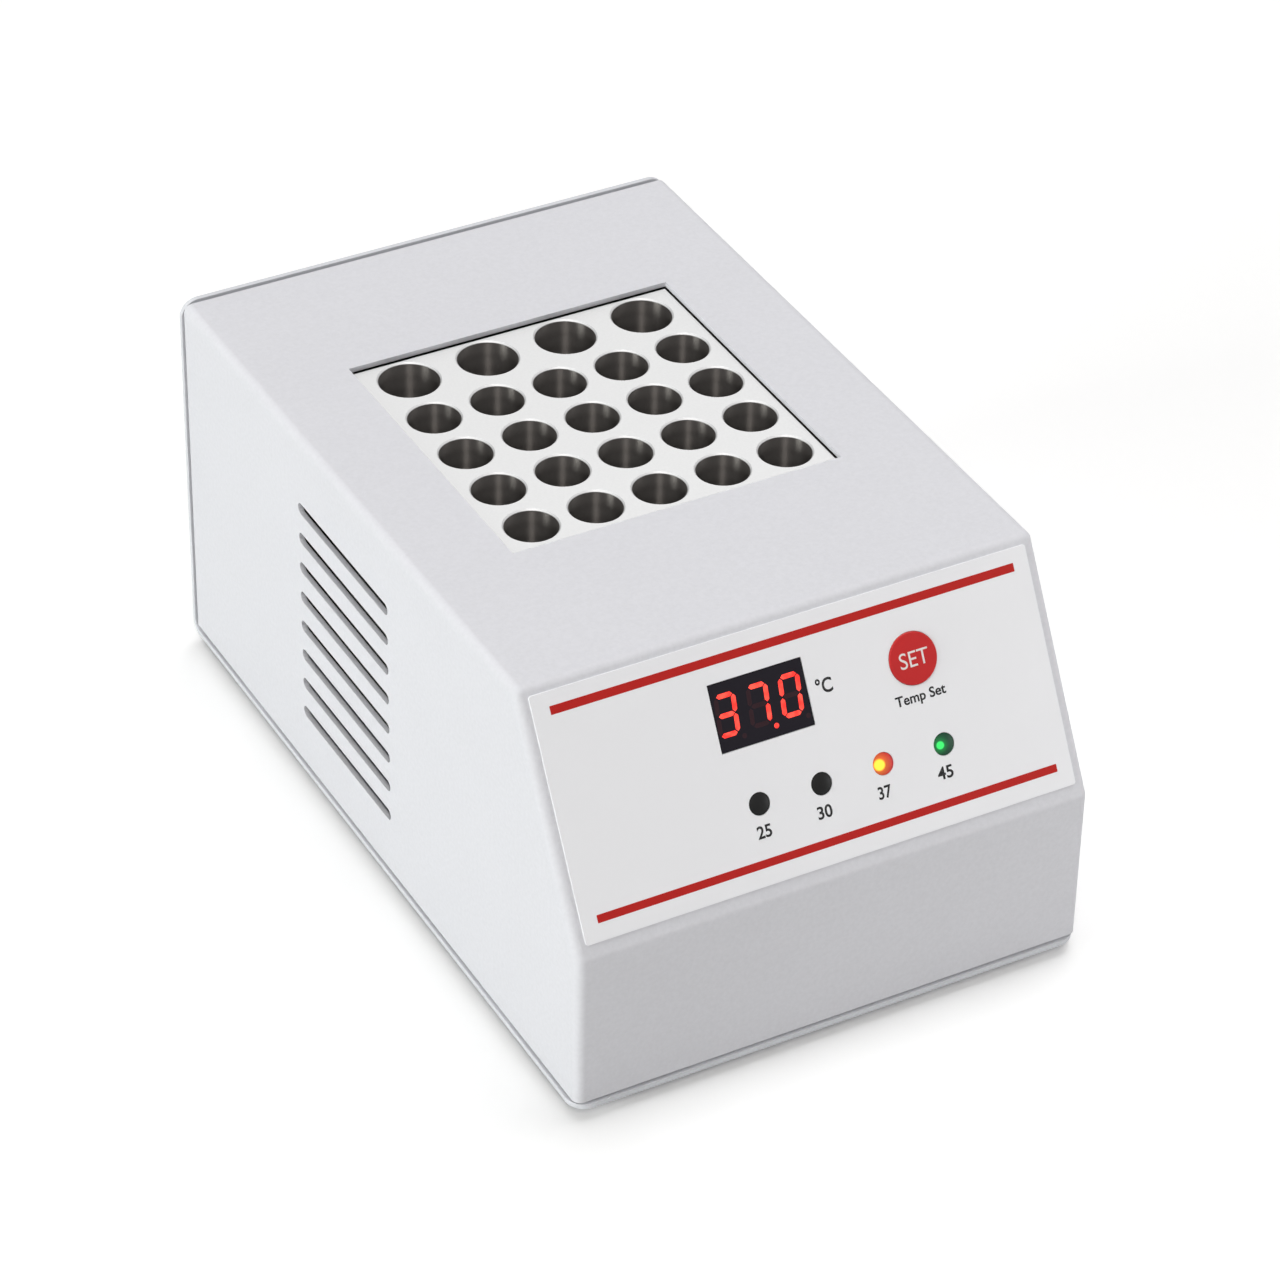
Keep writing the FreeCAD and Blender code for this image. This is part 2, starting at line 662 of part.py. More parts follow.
def well_places():
    """Centre and diameter of every well, at the block's top."""
    wells = []
    for row in range(SMALL_WELL_ROWS):
        for column in range(SMALL_WELL_COLUMNS):
            x = (column - (SMALL_WELL_COLUMNS - 1) / 2) * COLUMN_PITCH
            wells.append((V(x, FIRST_ROW_Y + row * ROW_PITCH, BLOCK_TOP_Z), SMALL_WELL_DIAMETER))
    for column in range(LARGE_WELL_COUNT):
        x = (column - (LARGE_WELL_COUNT - 1) / 2) * LARGE_WELL_PITCH
        wells.append((V(x, FIRST_ROW_Y + LARGE_ROW_OFFSET, BLOCK_TOP_Z), LARGE_WELL_DIAMETER))
    return wells


def well(centre, diameter):
    """One blind hole with a rounded floor edge and a small chamfer at its mouth."""
    hole = rod(centre - Z_AXIS * WELL_DEPTH, Z_AXIS, diameter, WELL_DEPTH + 1)
    floor_z = centre.z - WELL_DEPTH
    hole = side_fillet(hole, WELL_FLOOR_RADIUS, lambda middle, along: abs(middle.z - floor_z) < FIT)
    mouth = Part.makeCone(diameter / 2, diameter / 2 + 2 * WELL_CHAMFER, 2 * WELL_CHAMFER,
                          centre - Z_AXIS * WELL_CHAMFER, Z_AXIS)
    return hole.fuse(mouth)


def heating_block():
    """The aluminium block: a boss in the window, all the wells, the sensor bore and four blind stud holes."""
    half = BLOCK_WIDTH / 2
    block = box(-half, half, BLOCK_FRONT_Y, BLOCK_REAR_Y, BLOCK_BOTTOM_Z, SHOULDER_Z)
    half = WINDOW_WIDTH / 2 - BOSS_SIDE_GAP
    block = block.fuse(box(-half, half, WINDOW_FRONT_Y + BOSS_END_GAP,
                           WINDOW_FRONT_Y + WINDOW_DEPTH - BOSS_END_GAP, SHOULDER_Z, BLOCK_TOP_Z))
    for centre, diameter in well_places():
        block = block.cut(well(centre, diameter))
    for place in both_sides(POST_PLACES):
        start = V(place.x, place.y, BLOCK_BOTTOM_Z)
        block = block.cut(rod(start, Z_AXIS, STUD_DIAMETER + 2 * FIT, STUD_BITE + 0.5))
    bore = rod(V(SENSOR_X, BLOCK_FRONT_Y, SENSOR_Z), Y_AXIS, SENSOR_DIAMETER + 2 * FIT, SENSOR_BORE_DEPTH)
    return block.cut(bore)


def stack_plate(bottom, top, shrink, hole_diameter):
    """A plate of the heater stack, with clearance holes for the posts."""
    half = BLOCK_WIDTH / 2 - shrink
    plate = box(-half, half, BLOCK_FRONT_Y + shrink, BLOCK_REAR_Y - shrink, bottom, top)
    for place in both_sides(POST_PLACES):
        plate = plate.cut(rod(V(place.x, place.y, bottom), Z_AXIS, hole_diameter, top - bottom))
    return plate


def heater_mat():
    """Silicone heater mat under the block, with a tab for its leads."""
    mat = stack_plate(MAT_BOTTOM_Z, BLOCK_BOTTOM_Z, 1.0, STUD_DIAMETER + 4 * FIT)
    tab = box(HEATER_LEAD_X - 6, HEATER_LEAD_X + 6, BLOCK_FRONT_Y - HEATER_TAB_LENGTH, BLOCK_FRONT_Y + 2,
              MAT_BOTTOM_Z, BLOCK_BOTTOM_Z)
    return mat.fuse(tab).removeSplitter()


def clamp_plate():
    """Aluminium plate that presses the mat against the block."""
    return stack_plate(CLAMP_BOTTOM_Z, MAT_BOTTOM_Z, 0.0, STUD_DIAMETER + 4 * FIT)


def floor_insulation():
    """Fibre board under the clamp plate, cut out for the posts and the thermal cut-out."""
    board = stack_plate(INSULATION_BOTTOM_Z, CLAMP_BOTTOM_Z, 0.0, POST_DIAMETER + 4 * FIT)
    opening = rod(V(CUTOUT_X, BLOCK_MIDDLE_Y, INSULATION_BOTTOM_Z), Z_AXIS,
                  CUTOUT_DIAMETER + 4, FLOOR_INSULATION_THICKNESS)
    return board.cut(opening)


def insulation_jacket():
    """Foam ring round the block, with a notch for the heater leads and a sensor hole."""
    inner_x = BLOCK_WIDTH / 2 + JACKET_GAP
    inner_front = BLOCK_FRONT_Y - JACKET_GAP
    inner_rear = BLOCK_REAR_Y + JACKET_GAP
    bottom = INSULATION_BOTTOM_Z
    top = SHOULDER_Z
    outer_x = inner_x + JACKET_WALL
    jacket = box(-outer_x, outer_x, inner_front - JACKET_WALL, inner_rear + JACKET_REAR_WALL, bottom, top)
    jacket = jacket.cut(box(-inner_x, inner_x, inner_front, inner_rear, bottom, top))
    notch = box(HEATER_LEAD_X - 7, HEATER_LEAD_X + 7, inner_front - JACKET_WALL, inner_front,
                bottom, BLOCK_BOTTOM_Z + 1)
    jacket = jacket.cut(notch)
    start = V(SENSOR_X, inner_front - JACKET_WALL, SENSOR_Z)
    return jacket.cut(rod(start, Y_AXIS, SENSOR_DIAMETER + 1, JACKET_WALL))


def block_posts():
    """Four posts that carry the block: each ends in a stud that screws up into it."""
    posts = []
    for place in both_sides(POST_PLACES):
        foot = V(place.x, place.y, TRAY_TOP_Z)
        height = CLAMP_BOTTOM_Z - TRAY_TOP_Z
        post = rod(foot, Z_AXIS, POST_DIAMETER, height)
        stud = rod(foot + Z_AXIS * height, Z_AXIS, STUD_DIAMETER, CLAMP_THICKNESS + MAT_THICKNESS + STUD_BITE)
        post = post.fuse(stud).removeSplitter()
        posts.append(post.cut(rod(foot, Z_AXIS, STUD_DIAMETER + 2 * FIT, POST_TAPPING_DEPTH)))
    return posts


def post_screws():
    """Screws from below into the posts."""
    return [screw(V(place.x, place.y, FOOT_HEIGHT), Z_AXIS, SHEET + POST_SCREW_BITE, STUD_DIAMETER, M4_HEAD,
                  M4_HEAD_HEIGHT)
            for place in both_sides(POST_PLACES)]


def temperature_sensor():
    """A steel probe in the block's front bore."""
    start = V(SENSOR_X, BLOCK_FRONT_Y + SENSOR_BORE_DEPTH - SENSOR_LENGTH - 0.5, SENSOR_Z)
    probe = rod(start, Y_AXIS, SENSOR_DIAMETER, SENSOR_LENGTH)
    return side_fillet(probe, 0.8, lambda middle, along: middle.y > start.y + SENSOR_LENGTH - FIT)


def thermal_cutout():
    """A round thermostat that opens the heater's circuit if the plate gets too hot."""
    seat = V(CUTOUT_X, BLOCK_MIDDLE_Y, CLAMP_BOTTOM_Z)
    body = rod(seat, -Z_AXIS, CUTOUT_DIAMETER, CUTOUT_RIM_HEIGHT)
    body = body.fuse(rod(seat, -Z_AXIS, CUTOUT_DIAMETER - 3, CUTOUT_HEIGHT))
    top = seat.z - CUTOUT_HEIGHT
    for side in (-1, 1):
        x = CUTOUT_X + side * CUTOUT_TAB_SPREAD
        body = body.fuse(box(x - 0.5, x + 0.5, BLOCK_MIDDLE_Y - CUTOUT_TAB_HALF_WIDTH,
                             BLOCK_MIDDLE_Y + CUTOUT_TAB_HALF_WIDTH, top - CUTOUT_TAB_LENGTH, top))
    return body.removeSplitter()


# Front panel, in its own frame: x across, y up the slope, z outward


def front_label():
    """Printed film on the slope, with holes for the display, the key and the lamps."""
    half = LABEL_WIDTH / 2
    film = box(-half, half, LABEL_BOTTOM, LABEL_TOP, 0, LABEL_THICKNESS)
    film = side_fillet(film, LABEL_CORNER_RADIUS, lambda middle, along: abs(along.z) > 0.9)
    return on_panel(film.cut(panel_openings(-1.0, 1.0, 0.0)))


def set_key():
    """Round key: a cap in the film's hole, a collar behind the cover and a stem."""
    cap_top = LABEL_THICKNESS + KEY_RISE
    collar_top = -SHEET - 0.05
    collar_bottom = collar_top - KEY_COLLAR_THICKNESS
    cap = rod(V(KEY_ACROSS, KEY_UP, collar_top), Z_AXIS, KEY_DIAMETER, cap_top - collar_top)
    cap = side_fillet(cap, KEY_EDGE_RADIUS, lambda middle, along: middle.z > cap_top - FIT)
    collar_diameter = KEY_DIAMETER + 2 * KEY_COLLAR_RIM
    collar = rod(V(KEY_ACROSS, KEY_UP, collar_bottom), Z_AXIS, collar_diameter, KEY_COLLAR_THICKNESS)
    stem_end = BOARD_FRONT_W + SWITCH_HOUSING_HEIGHT + PLUNGER_RISE
    stem = rod(V(KEY_ACROSS, KEY_UP, stem_end), Z_AXIS, KEY_STEM_DIAMETER, collar_bottom - stem_end)
    return on_panel(cap.fuse(collar).fuse(stem).removeSplitter())


def key_switch():
    """The small push switch on the control board, under the key."""
    half = KEY_SWITCH_HALF
    body = box(KEY_ACROSS - half, KEY_ACROSS + half, KEY_UP - half, KEY_UP + half,
               BOARD_FRONT_W, BOARD_FRONT_W + SWITCH_HOUSING_HEIGHT)
    start = V(KEY_ACROSS, KEY_UP, BOARD_FRONT_W + KEY_SWITCH_FLOOR)
    return on_panel(body.cut(rod(start, Z_AXIS, PLUNGER_DIAMETER + 2 * FIT, SWITCH_HOUSING_HEIGHT)))


def switch_plunger():
    """The push switch's plunger, which the key's stem presses."""
    bottom = BOARD_FRONT_W + KEY_SWITCH_FLOOR + KEY_TRAVEL + 0.3
    top = BOARD_FRONT_W + SWITCH_HOUSING_HEIGHT + PLUNGER_RISE
    return on_panel(rod(V(KEY_ACROSS, KEY_UP, bottom), Z_AXIS, PLUNGER_DIAMETER, top - bottom))


def display_module():
    """Three-digit display: a black moulded block with pockets for its light segments."""
    face = LABEL_THICKNESS - DISPLAY_SINK
    half_width = DISPLAY_OPENING_WIDTH / 2 - DISPLAY_PLAY
    half_height = DISPLAY_OPENING_HEIGHT / 2 - DISPLAY_PLAY
    body = box(DISPLAY_ACROSS - half_width, DISPLAY_ACROSS + half_width,
               DISPLAY_UP - half_height, DISPLAY_UP + half_height, BOARD_FRONT_W, face)
    for segment in segment_solids(face, True) + segment_solids(face, False):
        body = body.cut(segment)
    return on_panel(body)


def segment_bar(start, end, top):
    """One straight light segment with pointed ends, between two points of a digit."""
    along = (end - start).normalize()
    side = Z_AXIS.cross(along)
    half = SEGMENT_WIDTH / 2
    first = start + along * SEGMENT_GAP
    last = end - along * SEGMENT_GAP
    outline = [first, first + along * half + side * half, last - along * half + side * half,
               last, last - along * half - side * half, first + along * half - side * half]
    return prism([V(p.x, p.y, top - SEGMENT_DEPTH) for p in outline], Z_AXIS * SEGMENT_DEPTH)


def segment_solids(top, lit):
    """The bars and dots of the three digits that are lit, or the ones that are dark."""
    half_width = (DIGIT_WIDTH - SEGMENT_WIDTH) / 2
    half_height = (DIGIT_HEIGHT - SEGMENT_WIDTH) / 2
    joints = [(-1, -1), (1, -1), (-1, 0), (1, 0), (-1, 1), (1, 1)]
    bars = [(0, 1), (2, 3), (4, 5), (0, 2), (2, 4), (1, 3), (3, 5)]
    solids = []
    for digit in range(3):
        middle_x = DISPLAY_ACROSS + FIRST_DIGIT_ACROSS + digit * DIGIT_PITCH
        middle_y = DISPLAY_UP + DIGIT_BASE_UP + DIGIT_HEIGHT / 2
        points = []
        for across, up in joints:
            y = up * half_height
            points.append(V(middle_x + across * half_width + y * math.tan(DIGIT_SLANT), middle_y + y, 0))
        for number, (first, last) in enumerate(bars):
            if (number in LIT_BARS[digit]) == lit:
                solids.append(segment_bar(points[first], points[last], top))
        dot = V(middle_x + DOT_OFFSET[0], middle_y + DOT_OFFSET[1], top - SEGMENT_DEPTH)
        if (digit == LIT_DOT) == lit:
            solids.append(rod(dot, Z_AXIS, DOT_DIAMETER, SEGMENT_DEPTH))
    return solids


def segments_lit():
    """The clear resin bars that are lit: they show 37.0."""
    return [on_panel(solid) for solid in segment_solids(LABEL_THICKNESS - DISPLAY_SINK, True)]


def segments_dark():
    """The clear resin bars that are dark."""
    return [on_panel(solid) for solid in segment_solids(LABEL_THICKNESS - DISPLAY_SINK, False)]


def lamp(name):
    """A round indicator lamp: a low-domed lens, its barrel and its rim on the board."""
    centre = V(LAMP_ACROSS[name], LAMP_UP, BOARD_FRONT_W)
    shoulder = LABEL_THICKNESS - LAMP_SHOULDER
    barrel = rod(centre, Z_AXIS, LAMP_DIAMETER, shoulder - BOARD_FRONT_W)
    rim = rod(centre, Z_AXIS, LAMP_DIAMETER + 2 * LAMP_RIM, LAMP_RIM_HEIGHT)
    half = LAMP_DIAMETER / 2
    ball_radius = (half * half + LAMP_CROWN * LAMP_CROWN) / (2 * LAMP_CROWN)
    ball = Part.makeSphere(ball_radius, V(centre.x, centre.y, shoulder + LAMP_CROWN - ball_radius))
    cap = ball.common(rod(V(centre.x, centre.y, shoulder), Z_AXIS, LAMP_DIAMETER, 2 * LAMP_CROWN))
    return on_panel(barrel.fuse(rim).fuse(cap).removeSplitter())


def control_board():
    """The circuit board behind the slope."""
    board = box(-CONTROL_BOARD_HALF, CONTROL_BOARD_HALF, CONTROL_BOARD_BOTTOM, CONTROL_BOARD_TOP,
                BOARD_BACK_W, BOARD_FRONT_W)
    for centre in panel_stud_places():
        board = board.cut(rod(centre + Z_AXIS * BOARD_BACK_W, Z_AXIS, M3_HOLE, BOARD_THICKNESS))
    return on_panel(board)


def panel_stud_places():
    """The four stud places, in the panel's frame."""
    return [V(side * STUD_ACROSS, up, 0) for side in (-1, 1) for up in STUD_UP]


def panel_studs():
    """Threaded studs welded behind the slope."""
    length = BOARD_STANDOFF - SHEET + BOARD_THICKNESS + M3_NUT_HEIGHT + SCREW_TIP
    return [on_panel(rod(place - Z_AXIS * (SHEET + length), Z_AXIS, M3, length))
            for place in panel_stud_places()]


def board_spacers():
    """Sleeves on the studs that set the board's distance."""
    sleeves = []
    for place in panel_stud_places():
        start = place + Z_AXIS * BOARD_FRONT_W
        length = BOARD_STANDOFF - SHEET
        sleeve = rod(start, Z_AXIS, SLEEVE_DIAMETER, length)
        sleeves.append(on_panel(sleeve.cut(rod(start, Z_AXIS, M3_HOLE, length))))
    return sleeves


def control_chip():
    """The controller on the back of the control board."""
    return on_panel(box(-CHIP_HALF, CHIP_HALF, CHIP_UP - CHIP_HALF, CHIP_UP + CHIP_HALF,
                        BOARD_BACK_W - CHIP_HEIGHT, BOARD_BACK_W))


def control_header():
    """The ribbon cable's plug on the control board."""
    return on_panel(box(RIBBON_X[0], RIBBON_X[1], RIBBON_UP - HEADER_HALF, RIBBON_UP + HEADER_HALF,
                        BOARD_BACK_W - HEADER_HEIGHT, BOARD_BACK_W))


# Power supply


def power_board():
    """The mains and heater board on the tray."""
    board = box(-POWER_BOARD_X, POWER_BOARD_X, POWER_BOARD_FRONT_Y, POWER_BOARD_REAR_Y,
                POWER_BOARD_Z, POWER_TOP_Z)
    for place in both_sides(POWER_SCREW_PLACES):
        board = board.cut(rod(V(place.x, place.y, POWER_BOARD_Z), Z_AXIS, M3_HOLE, BOARD_THICKNESS))
    return board


def power_spacers():
    """Sleeves between the tray and the power board."""
    sleeves = []
    for place in both_sides(POWER_SCREW_PLACES):
        start = V(place.x, place.y, TRAY_TOP_Z)
        sleeve = rod(start, Z_AXIS, SLEEVE_DIAMETER, POWER_SPACER_HEIGHT)
        sleeves.append(sleeve.cut(rod(start, Z_AXIS, M3_HOLE, POWER_SPACER_HEIGHT)))
    return sleeves


def power_screws():
    """Screws from below through the tray, the sleeves and the power board."""
    length = POWER_TOP_Z - FOOT_HEIGHT + M3_NUT_HEIGHT + SCREW_TIP
    return [screw(V(place.x, place.y, FOOT_HEIGHT), Z_AXIS, length)
            for place in both_sides(POWER_SCREW_PLACES)]


def transformer_core():
    """Laminated iron core with two windows."""
    middle = TRANSFORMER_MIDDLE
    core = box(middle.x - CORE_HALF_WIDTH, middle.x + CORE_HALF_WIDTH,
               middle.y - CORE_HALF_STACK, middle.y + CORE_HALF_STACK, middle.z, middle.z + CORE_HEIGHT)
    for side in (-1, 1):
        x0, x1 = sorted(middle.x + side * reach for reach in CORE_WINDOW)
        core = core.cut(box(x0, x1, middle.y - CORE_HALF_STACK, middle.y + CORE_HALF_STACK,
                            middle.z + CORE_YOKE, middle.z + CORE_HEIGHT - CORE_YOKE))
    return core


def transformer_coil():
    """The winding on its bobbin round the core's middle limb."""
    middle = TRANSFORMER_MIDDLE
    bottom = middle.z + CORE_YOKE + 2 * FIT
    top = middle.z + CORE_HEIGHT - CORE_YOKE - 2 * FIT
    half_width = CORE_WINDOW[1] - 2 * FIT
    coil = box(middle.x - half_width, middle.x + half_width,
               middle.y - COIL_HALF_STACK, middle.y + COIL_HALF_STACK, bottom, top)
    coil = side_fillet(coil, 2.0, lambda at, along: abs(along.z) > 0.9)
    half_limb = CORE_WINDOW[0] + 2 * FIT
    half_depth = CORE_HALF_STACK + 2 * FIT
    return coil.cut(box(middle.x - half_limb, middle.x + half_limb,
                        middle.y - half_depth, middle.y + half_depth, bottom, top))


def smoothing_capacitors():
    """Two round capacitors on the power board."""
    top = POWER_TOP_Z + CAPACITOR_HEIGHT
    cans = []
    for x in CAPACITOR_X:
        can = rod(V(x, CAPACITOR_Y, POWER_TOP_Z), Z_AXIS, CAPACITOR_DIAMETER, CAPACITOR_HEIGHT)
        cans.append(side_fillet(can, 0.8, lambda at, along: at.z > top - FIT))
    return cans


def heater_relay():
    """The solid-state relay that switches the heater."""
    case = box(RELAY_X[0], RELAY_X[1], RELAY_Y, RELAY_Y + RELAY_LENGTH,
               POWER_TOP_Z, POWER_TOP_Z + RELAY_HEIGHT)
    return side_fillet(case, 0.5, lambda at, along: abs(along.z) > 0.9)


def terminal_block():
    """The screw terminals where the mains leads arrive."""
    top = POWER_TOP_Z + TERMINAL_SIZE
    block = box(TERMINAL_X[0], TERMINAL_X[1], TERMINAL_REAR_Y - TERMINAL_SIZE, TERMINAL_REAR_Y,
                POWER_TOP_Z, top)
    return side_fillet(block, 0.5, lambda at, along: abs(along.x) > 0.9 and at.z > top - FIT)


def board_sockets():
    """Small plug sockets on the power board for the heater, the sensor and the ribbon."""
    y1 = POWER_BOARD_REAR_Y - SOCKET_INSET
    y0 = y1 - PLUG_DEPTH
    top = POWER_TOP_Z + PLUG_HEIGHT
    heater = box(HEATER_LEAD_X - HEATER_PLUG_HALF, HEATER_LEAD_X + HEATER_PLUG_HALF, y0, y1, POWER_TOP_Z, top)
    sensor = box(SENSOR_X - SENSOR_PLUG_HALF, SENSOR_X + SENSOR_PLUG_HALF, y0, y1, POWER_TOP_Z, top)
    ribbon = box(RIBBON_X[0], RIBBON_X[1], RIBBON_FOOT_Y - HEADER_HALF, RIBBON_FOOT_Y + HEADER_HALF,
                 POWER_TOP_Z, POWER_TOP_Z + HEADER_HEIGHT)
    return [heater, sensor, ribbon]


# Rear plate


def socket_outline(grow):
    """The mains socket's outline: a rectangle with its two upper corners cut off."""
    half_width = SOCKET_WIDTH / 2 + grow
    half_height = SOCKET_HEIGHT / 2 + grow
    cut = SOCKET_CORNER_CUT
    middle_z = INLET_Z + SOCKET_RISE
    return [(INLET_X - half_width, middle_z - half_height), (INLET_X + half_width, middle_z - half_height),
            (INLET_X + half_width, middle_z + half_height - cut),
            (INLET_X + half_width - cut, middle_z + half_height),
            (INLET_X - half_width + cut, middle_z + half_height),
            (INLET_X - half_width, middle_z + half_height - cut)]


def inlet_housing():
    """Moulded mains inlet: flange, body, socket and the fuse drawer's slot."""
    half_width = INLET_FLANGE_WIDTH / 2
    half_height = INLET_FLANGE_HEIGHT / 2
    flange = box(INLET_X - half_width, INLET_X + half_width, PLATE_OUTER_Y, FLANGE_FACE_Y,
                 INLET_Z - half_height, INLET_Z + half_height)
    flange = side_fillet(flange, FLANGE_CORNER_RADIUS, lambda middle, along: abs(along.y) > 0.9)
    flange = side_fillet(flange, FLANGE_EDGE_RADIUS, lambda middle, along: middle.y > FLANGE_FACE_Y - FIT)
    half_width = INLET_BODY_WIDTH / 2
    half_height = INLET_BODY_HEIGHT / 2
    body = box(INLET_X - half_width, INLET_X + half_width, PLATE_OUTER_Y - INLET_BODY_DEPTH, PLATE_OUTER_Y,
               INLET_Z - half_height, INLET_Z + half_height)
    inlet = flange.fuse(body).removeSplitter()
    outline = [V(x, FLANGE_FACE_Y - SOCKET_DEPTH, z) for x, z in socket_outline(0.0)]
    inlet = inlet.cut(prism(outline, Y_AXIS * (SOCKET_DEPTH + 1)))
    half_slot = DRAWER_HALF_WIDTH + DRAWER_PLAY
    slot_start = FLANGE_FACE_Y - DRAWER_FRONT_THICKNESS - DRAWER_LENGTH - 0.5
    slot = box(INLET_X - half_slot, INLET_X + half_slot, slot_start, FLANGE_FACE_Y,
               DRAWER_Z + DRAWER_BOTTOM - DRAWER_PLAY, DRAWER_Z + DRAWER_TOP + CONTACT_SPACE)
    inlet = inlet.cut(slot)
    half_width = DRAWER_FRONT_HALF_WIDTH + 2 * FIT
    half_height = DRAWER_FRONT_HALF_HEIGHT + 2 * FIT
    recess = box(INLET_X - half_width, INLET_X + half_width, FLANGE_FACE_Y - DRAWER_FRONT_THICKNESS,
                 FLANGE_FACE_Y + 1, DRAWER_Z - half_height, DRAWER_Z + half_height)
    inlet = inlet.cut(recess)
    for place in inlet_screw_places():
        inlet = inlet.cut(rod(place, Y_AXIS, M3_HOLE, INLET_FLANGE_THICKNESS))
        inlet = inlet.cut(inlet_countersink(place, 0.1))
    for blade in inlet_blades():
        inlet = inlet.cut(blade)
    return inlet


def inlet_screw_places():
    """The two screw places of the inlet, on the rear plate's outer face."""
    return [V(INLET_X + side * INLET_SCREW_SPACING / 2, PLATE_OUTER_Y, INLET_Z + SOCKET_RISE)
            for side in (-1, 1)]


def inlet_countersink(place, grow):
    """The cone of a countersunk head in the flange, and the short round rim above it."""
    start = place + Y_AXIS * (INLET_FLANGE_THICKNESS - COUNTERSINK_DEPTH - COUNTERSINK_SINK)
    cone = Part.makeCone(M3 / 2 + grow, COUNTERSINK_DIAMETER / 2 + grow, COUNTERSINK_DEPTH, start, Y_AXIS)
    rim_diameter = COUNTERSINK_DIAMETER + 2 * grow
    rim_height = COUNTERSINK_SINK - 0.05 + grow
    return cone.fuse(rod(start + Y_AXIS * COUNTERSINK_DEPTH, Y_AXIS, rim_diameter, rim_height))


def inlet_screws():
    """Countersunk screws through the inlet's flange."""
    back = SHEET + M3_NUT_HEIGHT + SCREW_TIP
    screws = []
    for place in inlet_screw_places():
        body = rod(place - Y_AXIS * back, Y_AXIS, M3, back + SHEET)
        body = body.fuse(inlet_countersink(place, 0.0)).removeSplitter()
        face = place + Y_AXIS * (INLET_FLANGE_THICKNESS - 0.05)
        screws.append(body.cut(hexagon(face, -Y_AXIS, HEX_KEY_ACROSS, COUNTERSINK_DEPTH - 0.5)))
    return screws


def m3_nuts():
    """Every M3 nut: above the feet, on the brackets and both boards, and inside the rear plate."""
    places = [place + Z_AXIS * TRAY_TOP_Z for place in both_sides(FOOT_PLACES)]
    places += [place + Z_AXIS * BRACKET_THICKNESS for place in bracket_screw_places()]
    places += [place + Z_AXIS * POWER_TOP_Z for place in both_sides(POWER_SCREW_PLACES)]
    nuts = [nut(place, Z_AXIS) for place in places]
    for place in panel_stud_places():
        nuts.append(on_panel(nut(place + Z_AXIS * BOARD_BACK_W, -Z_AXIS)))
    for place in inlet_screw_places():
        nuts.append(nut(place - Y_AXIS * SHEET, -Y_AXIS))
    return nuts


def inlet_blade(x, z, tip):
    """One flat contact blade, from its tip in the socket to its tail inside."""
    return box(x - BLADE_HALF_WIDTH, x + BLADE_HALF_WIDTH, BLADE_TAIL_Y, FLANGE_FACE_Y - tip,
               z - BLADE_HALF_HEIGHT, z + BLADE_HALF_HEIGHT)


def inlet_blades():
    """Line, neutral and the longer earth blade."""
    return [inlet_blade(INLET_X - BLADE_SPREAD, LINE_BLADE_Z, LINE_TIP_DEPTH),
            inlet_blade(INLET_X + BLADE_SPREAD, LINE_BLADE_Z, LINE_TIP_DEPTH),
            inlet_blade(INLET_X, EARTH_BLADE_Z, EARTH_TIP_DEPTH)]


def fuse_axis_start(side):
    """Where a fuse starts, at its inner end."""
    return V(INLET_X + side * FUSE_SPREAD, FLANGE_FACE_Y - DRAWER_FRONT_THICKNESS - FUSE_LENGTH - 1.5,
             DRAWER_Z + FUSE_RISE)


def fuse_drawer():
    """Sliding drawer with two fuse grooves, a pull notch and a front plate."""
    front_y = FLANGE_FACE_Y - DRAWER_FRONT_THICKNESS
    body = box(INLET_X - DRAWER_HALF_WIDTH, INLET_X + DRAWER_HALF_WIDTH, front_y - DRAWER_LENGTH, front_y,
               DRAWER_Z + DRAWER_BOTTOM, DRAWER_Z + DRAWER_TOP)
    front = box(INLET_X - DRAWER_FRONT_HALF_WIDTH, INLET_X + DRAWER_FRONT_HALF_WIDTH, front_y, FLANGE_FACE_Y,
                DRAWER_Z - DRAWER_FRONT_HALF_HEIGHT, DRAWER_Z + DRAWER_FRONT_HALF_HEIGHT)
    front = side_fillet(front, 0.4, lambda middle, along: middle.y > FLANGE_FACE_Y - FIT)
    drawer = body.fuse(front).removeSplitter()
    for side in (-1, 1):
        start = fuse_axis_start(side) - Y_AXIS * 0.5
        groove = rod(start, Y_AXIS, FUSE_DIAMETER + 0.4, FUSE_LENGTH + 1)
        half = FUSE_DIAMETER / 2 + 0.2
        mouth = box(start.x - half, start.x + half, start.y, start.y + FUSE_LENGTH + 1,
                    start.z, DRAWER_Z + DRAWER_TOP + 1)
        drawer = drawer.cut(groove.fuse(mouth))
    top = DRAWER_Z + DRAWER_FRONT_HALF_HEIGHT
    notch = box(INLET_X - PULL_NOTCH_HALF_WIDTH, INLET_X + PULL_NOTCH_HALF_WIDTH,
                FLANGE_FACE_Y - PULL_NOTCH_DEPTH, FLANGE_FACE_Y + 1, top - PULL_NOTCH_HEIGHT, top + 1)
    return drawer.cut(notch)


def fuses():
    """Two glass fuses lying in the drawer."""
    return [rod(fuse_axis_start(side), Y_AXIS, FUSE_DIAMETER, FUSE_LENGTH) for side in (-1, 1)]


def fuse_contacts():
    """Spring strips on the slot's ceiling, over both ends of each fuse."""
    strips = []
    top = DRAWER_Z + DRAWER_TOP + CONTACT_SPACE
    for side in (-1, 1):
        start = fuse_axis_start(side)
        for along in (1.0, FUSE_LENGTH - CONTACT_LENGTH - 1.0):
            strips.append(box(start.x - CONTACT_HALF_WIDTH, start.x + CONTACT_HALF_WIDTH,
                              start.y + along, start.y + along + CONTACT_LENGTH,
                              top - CONTACT_THICKNESS, top))
    return strips


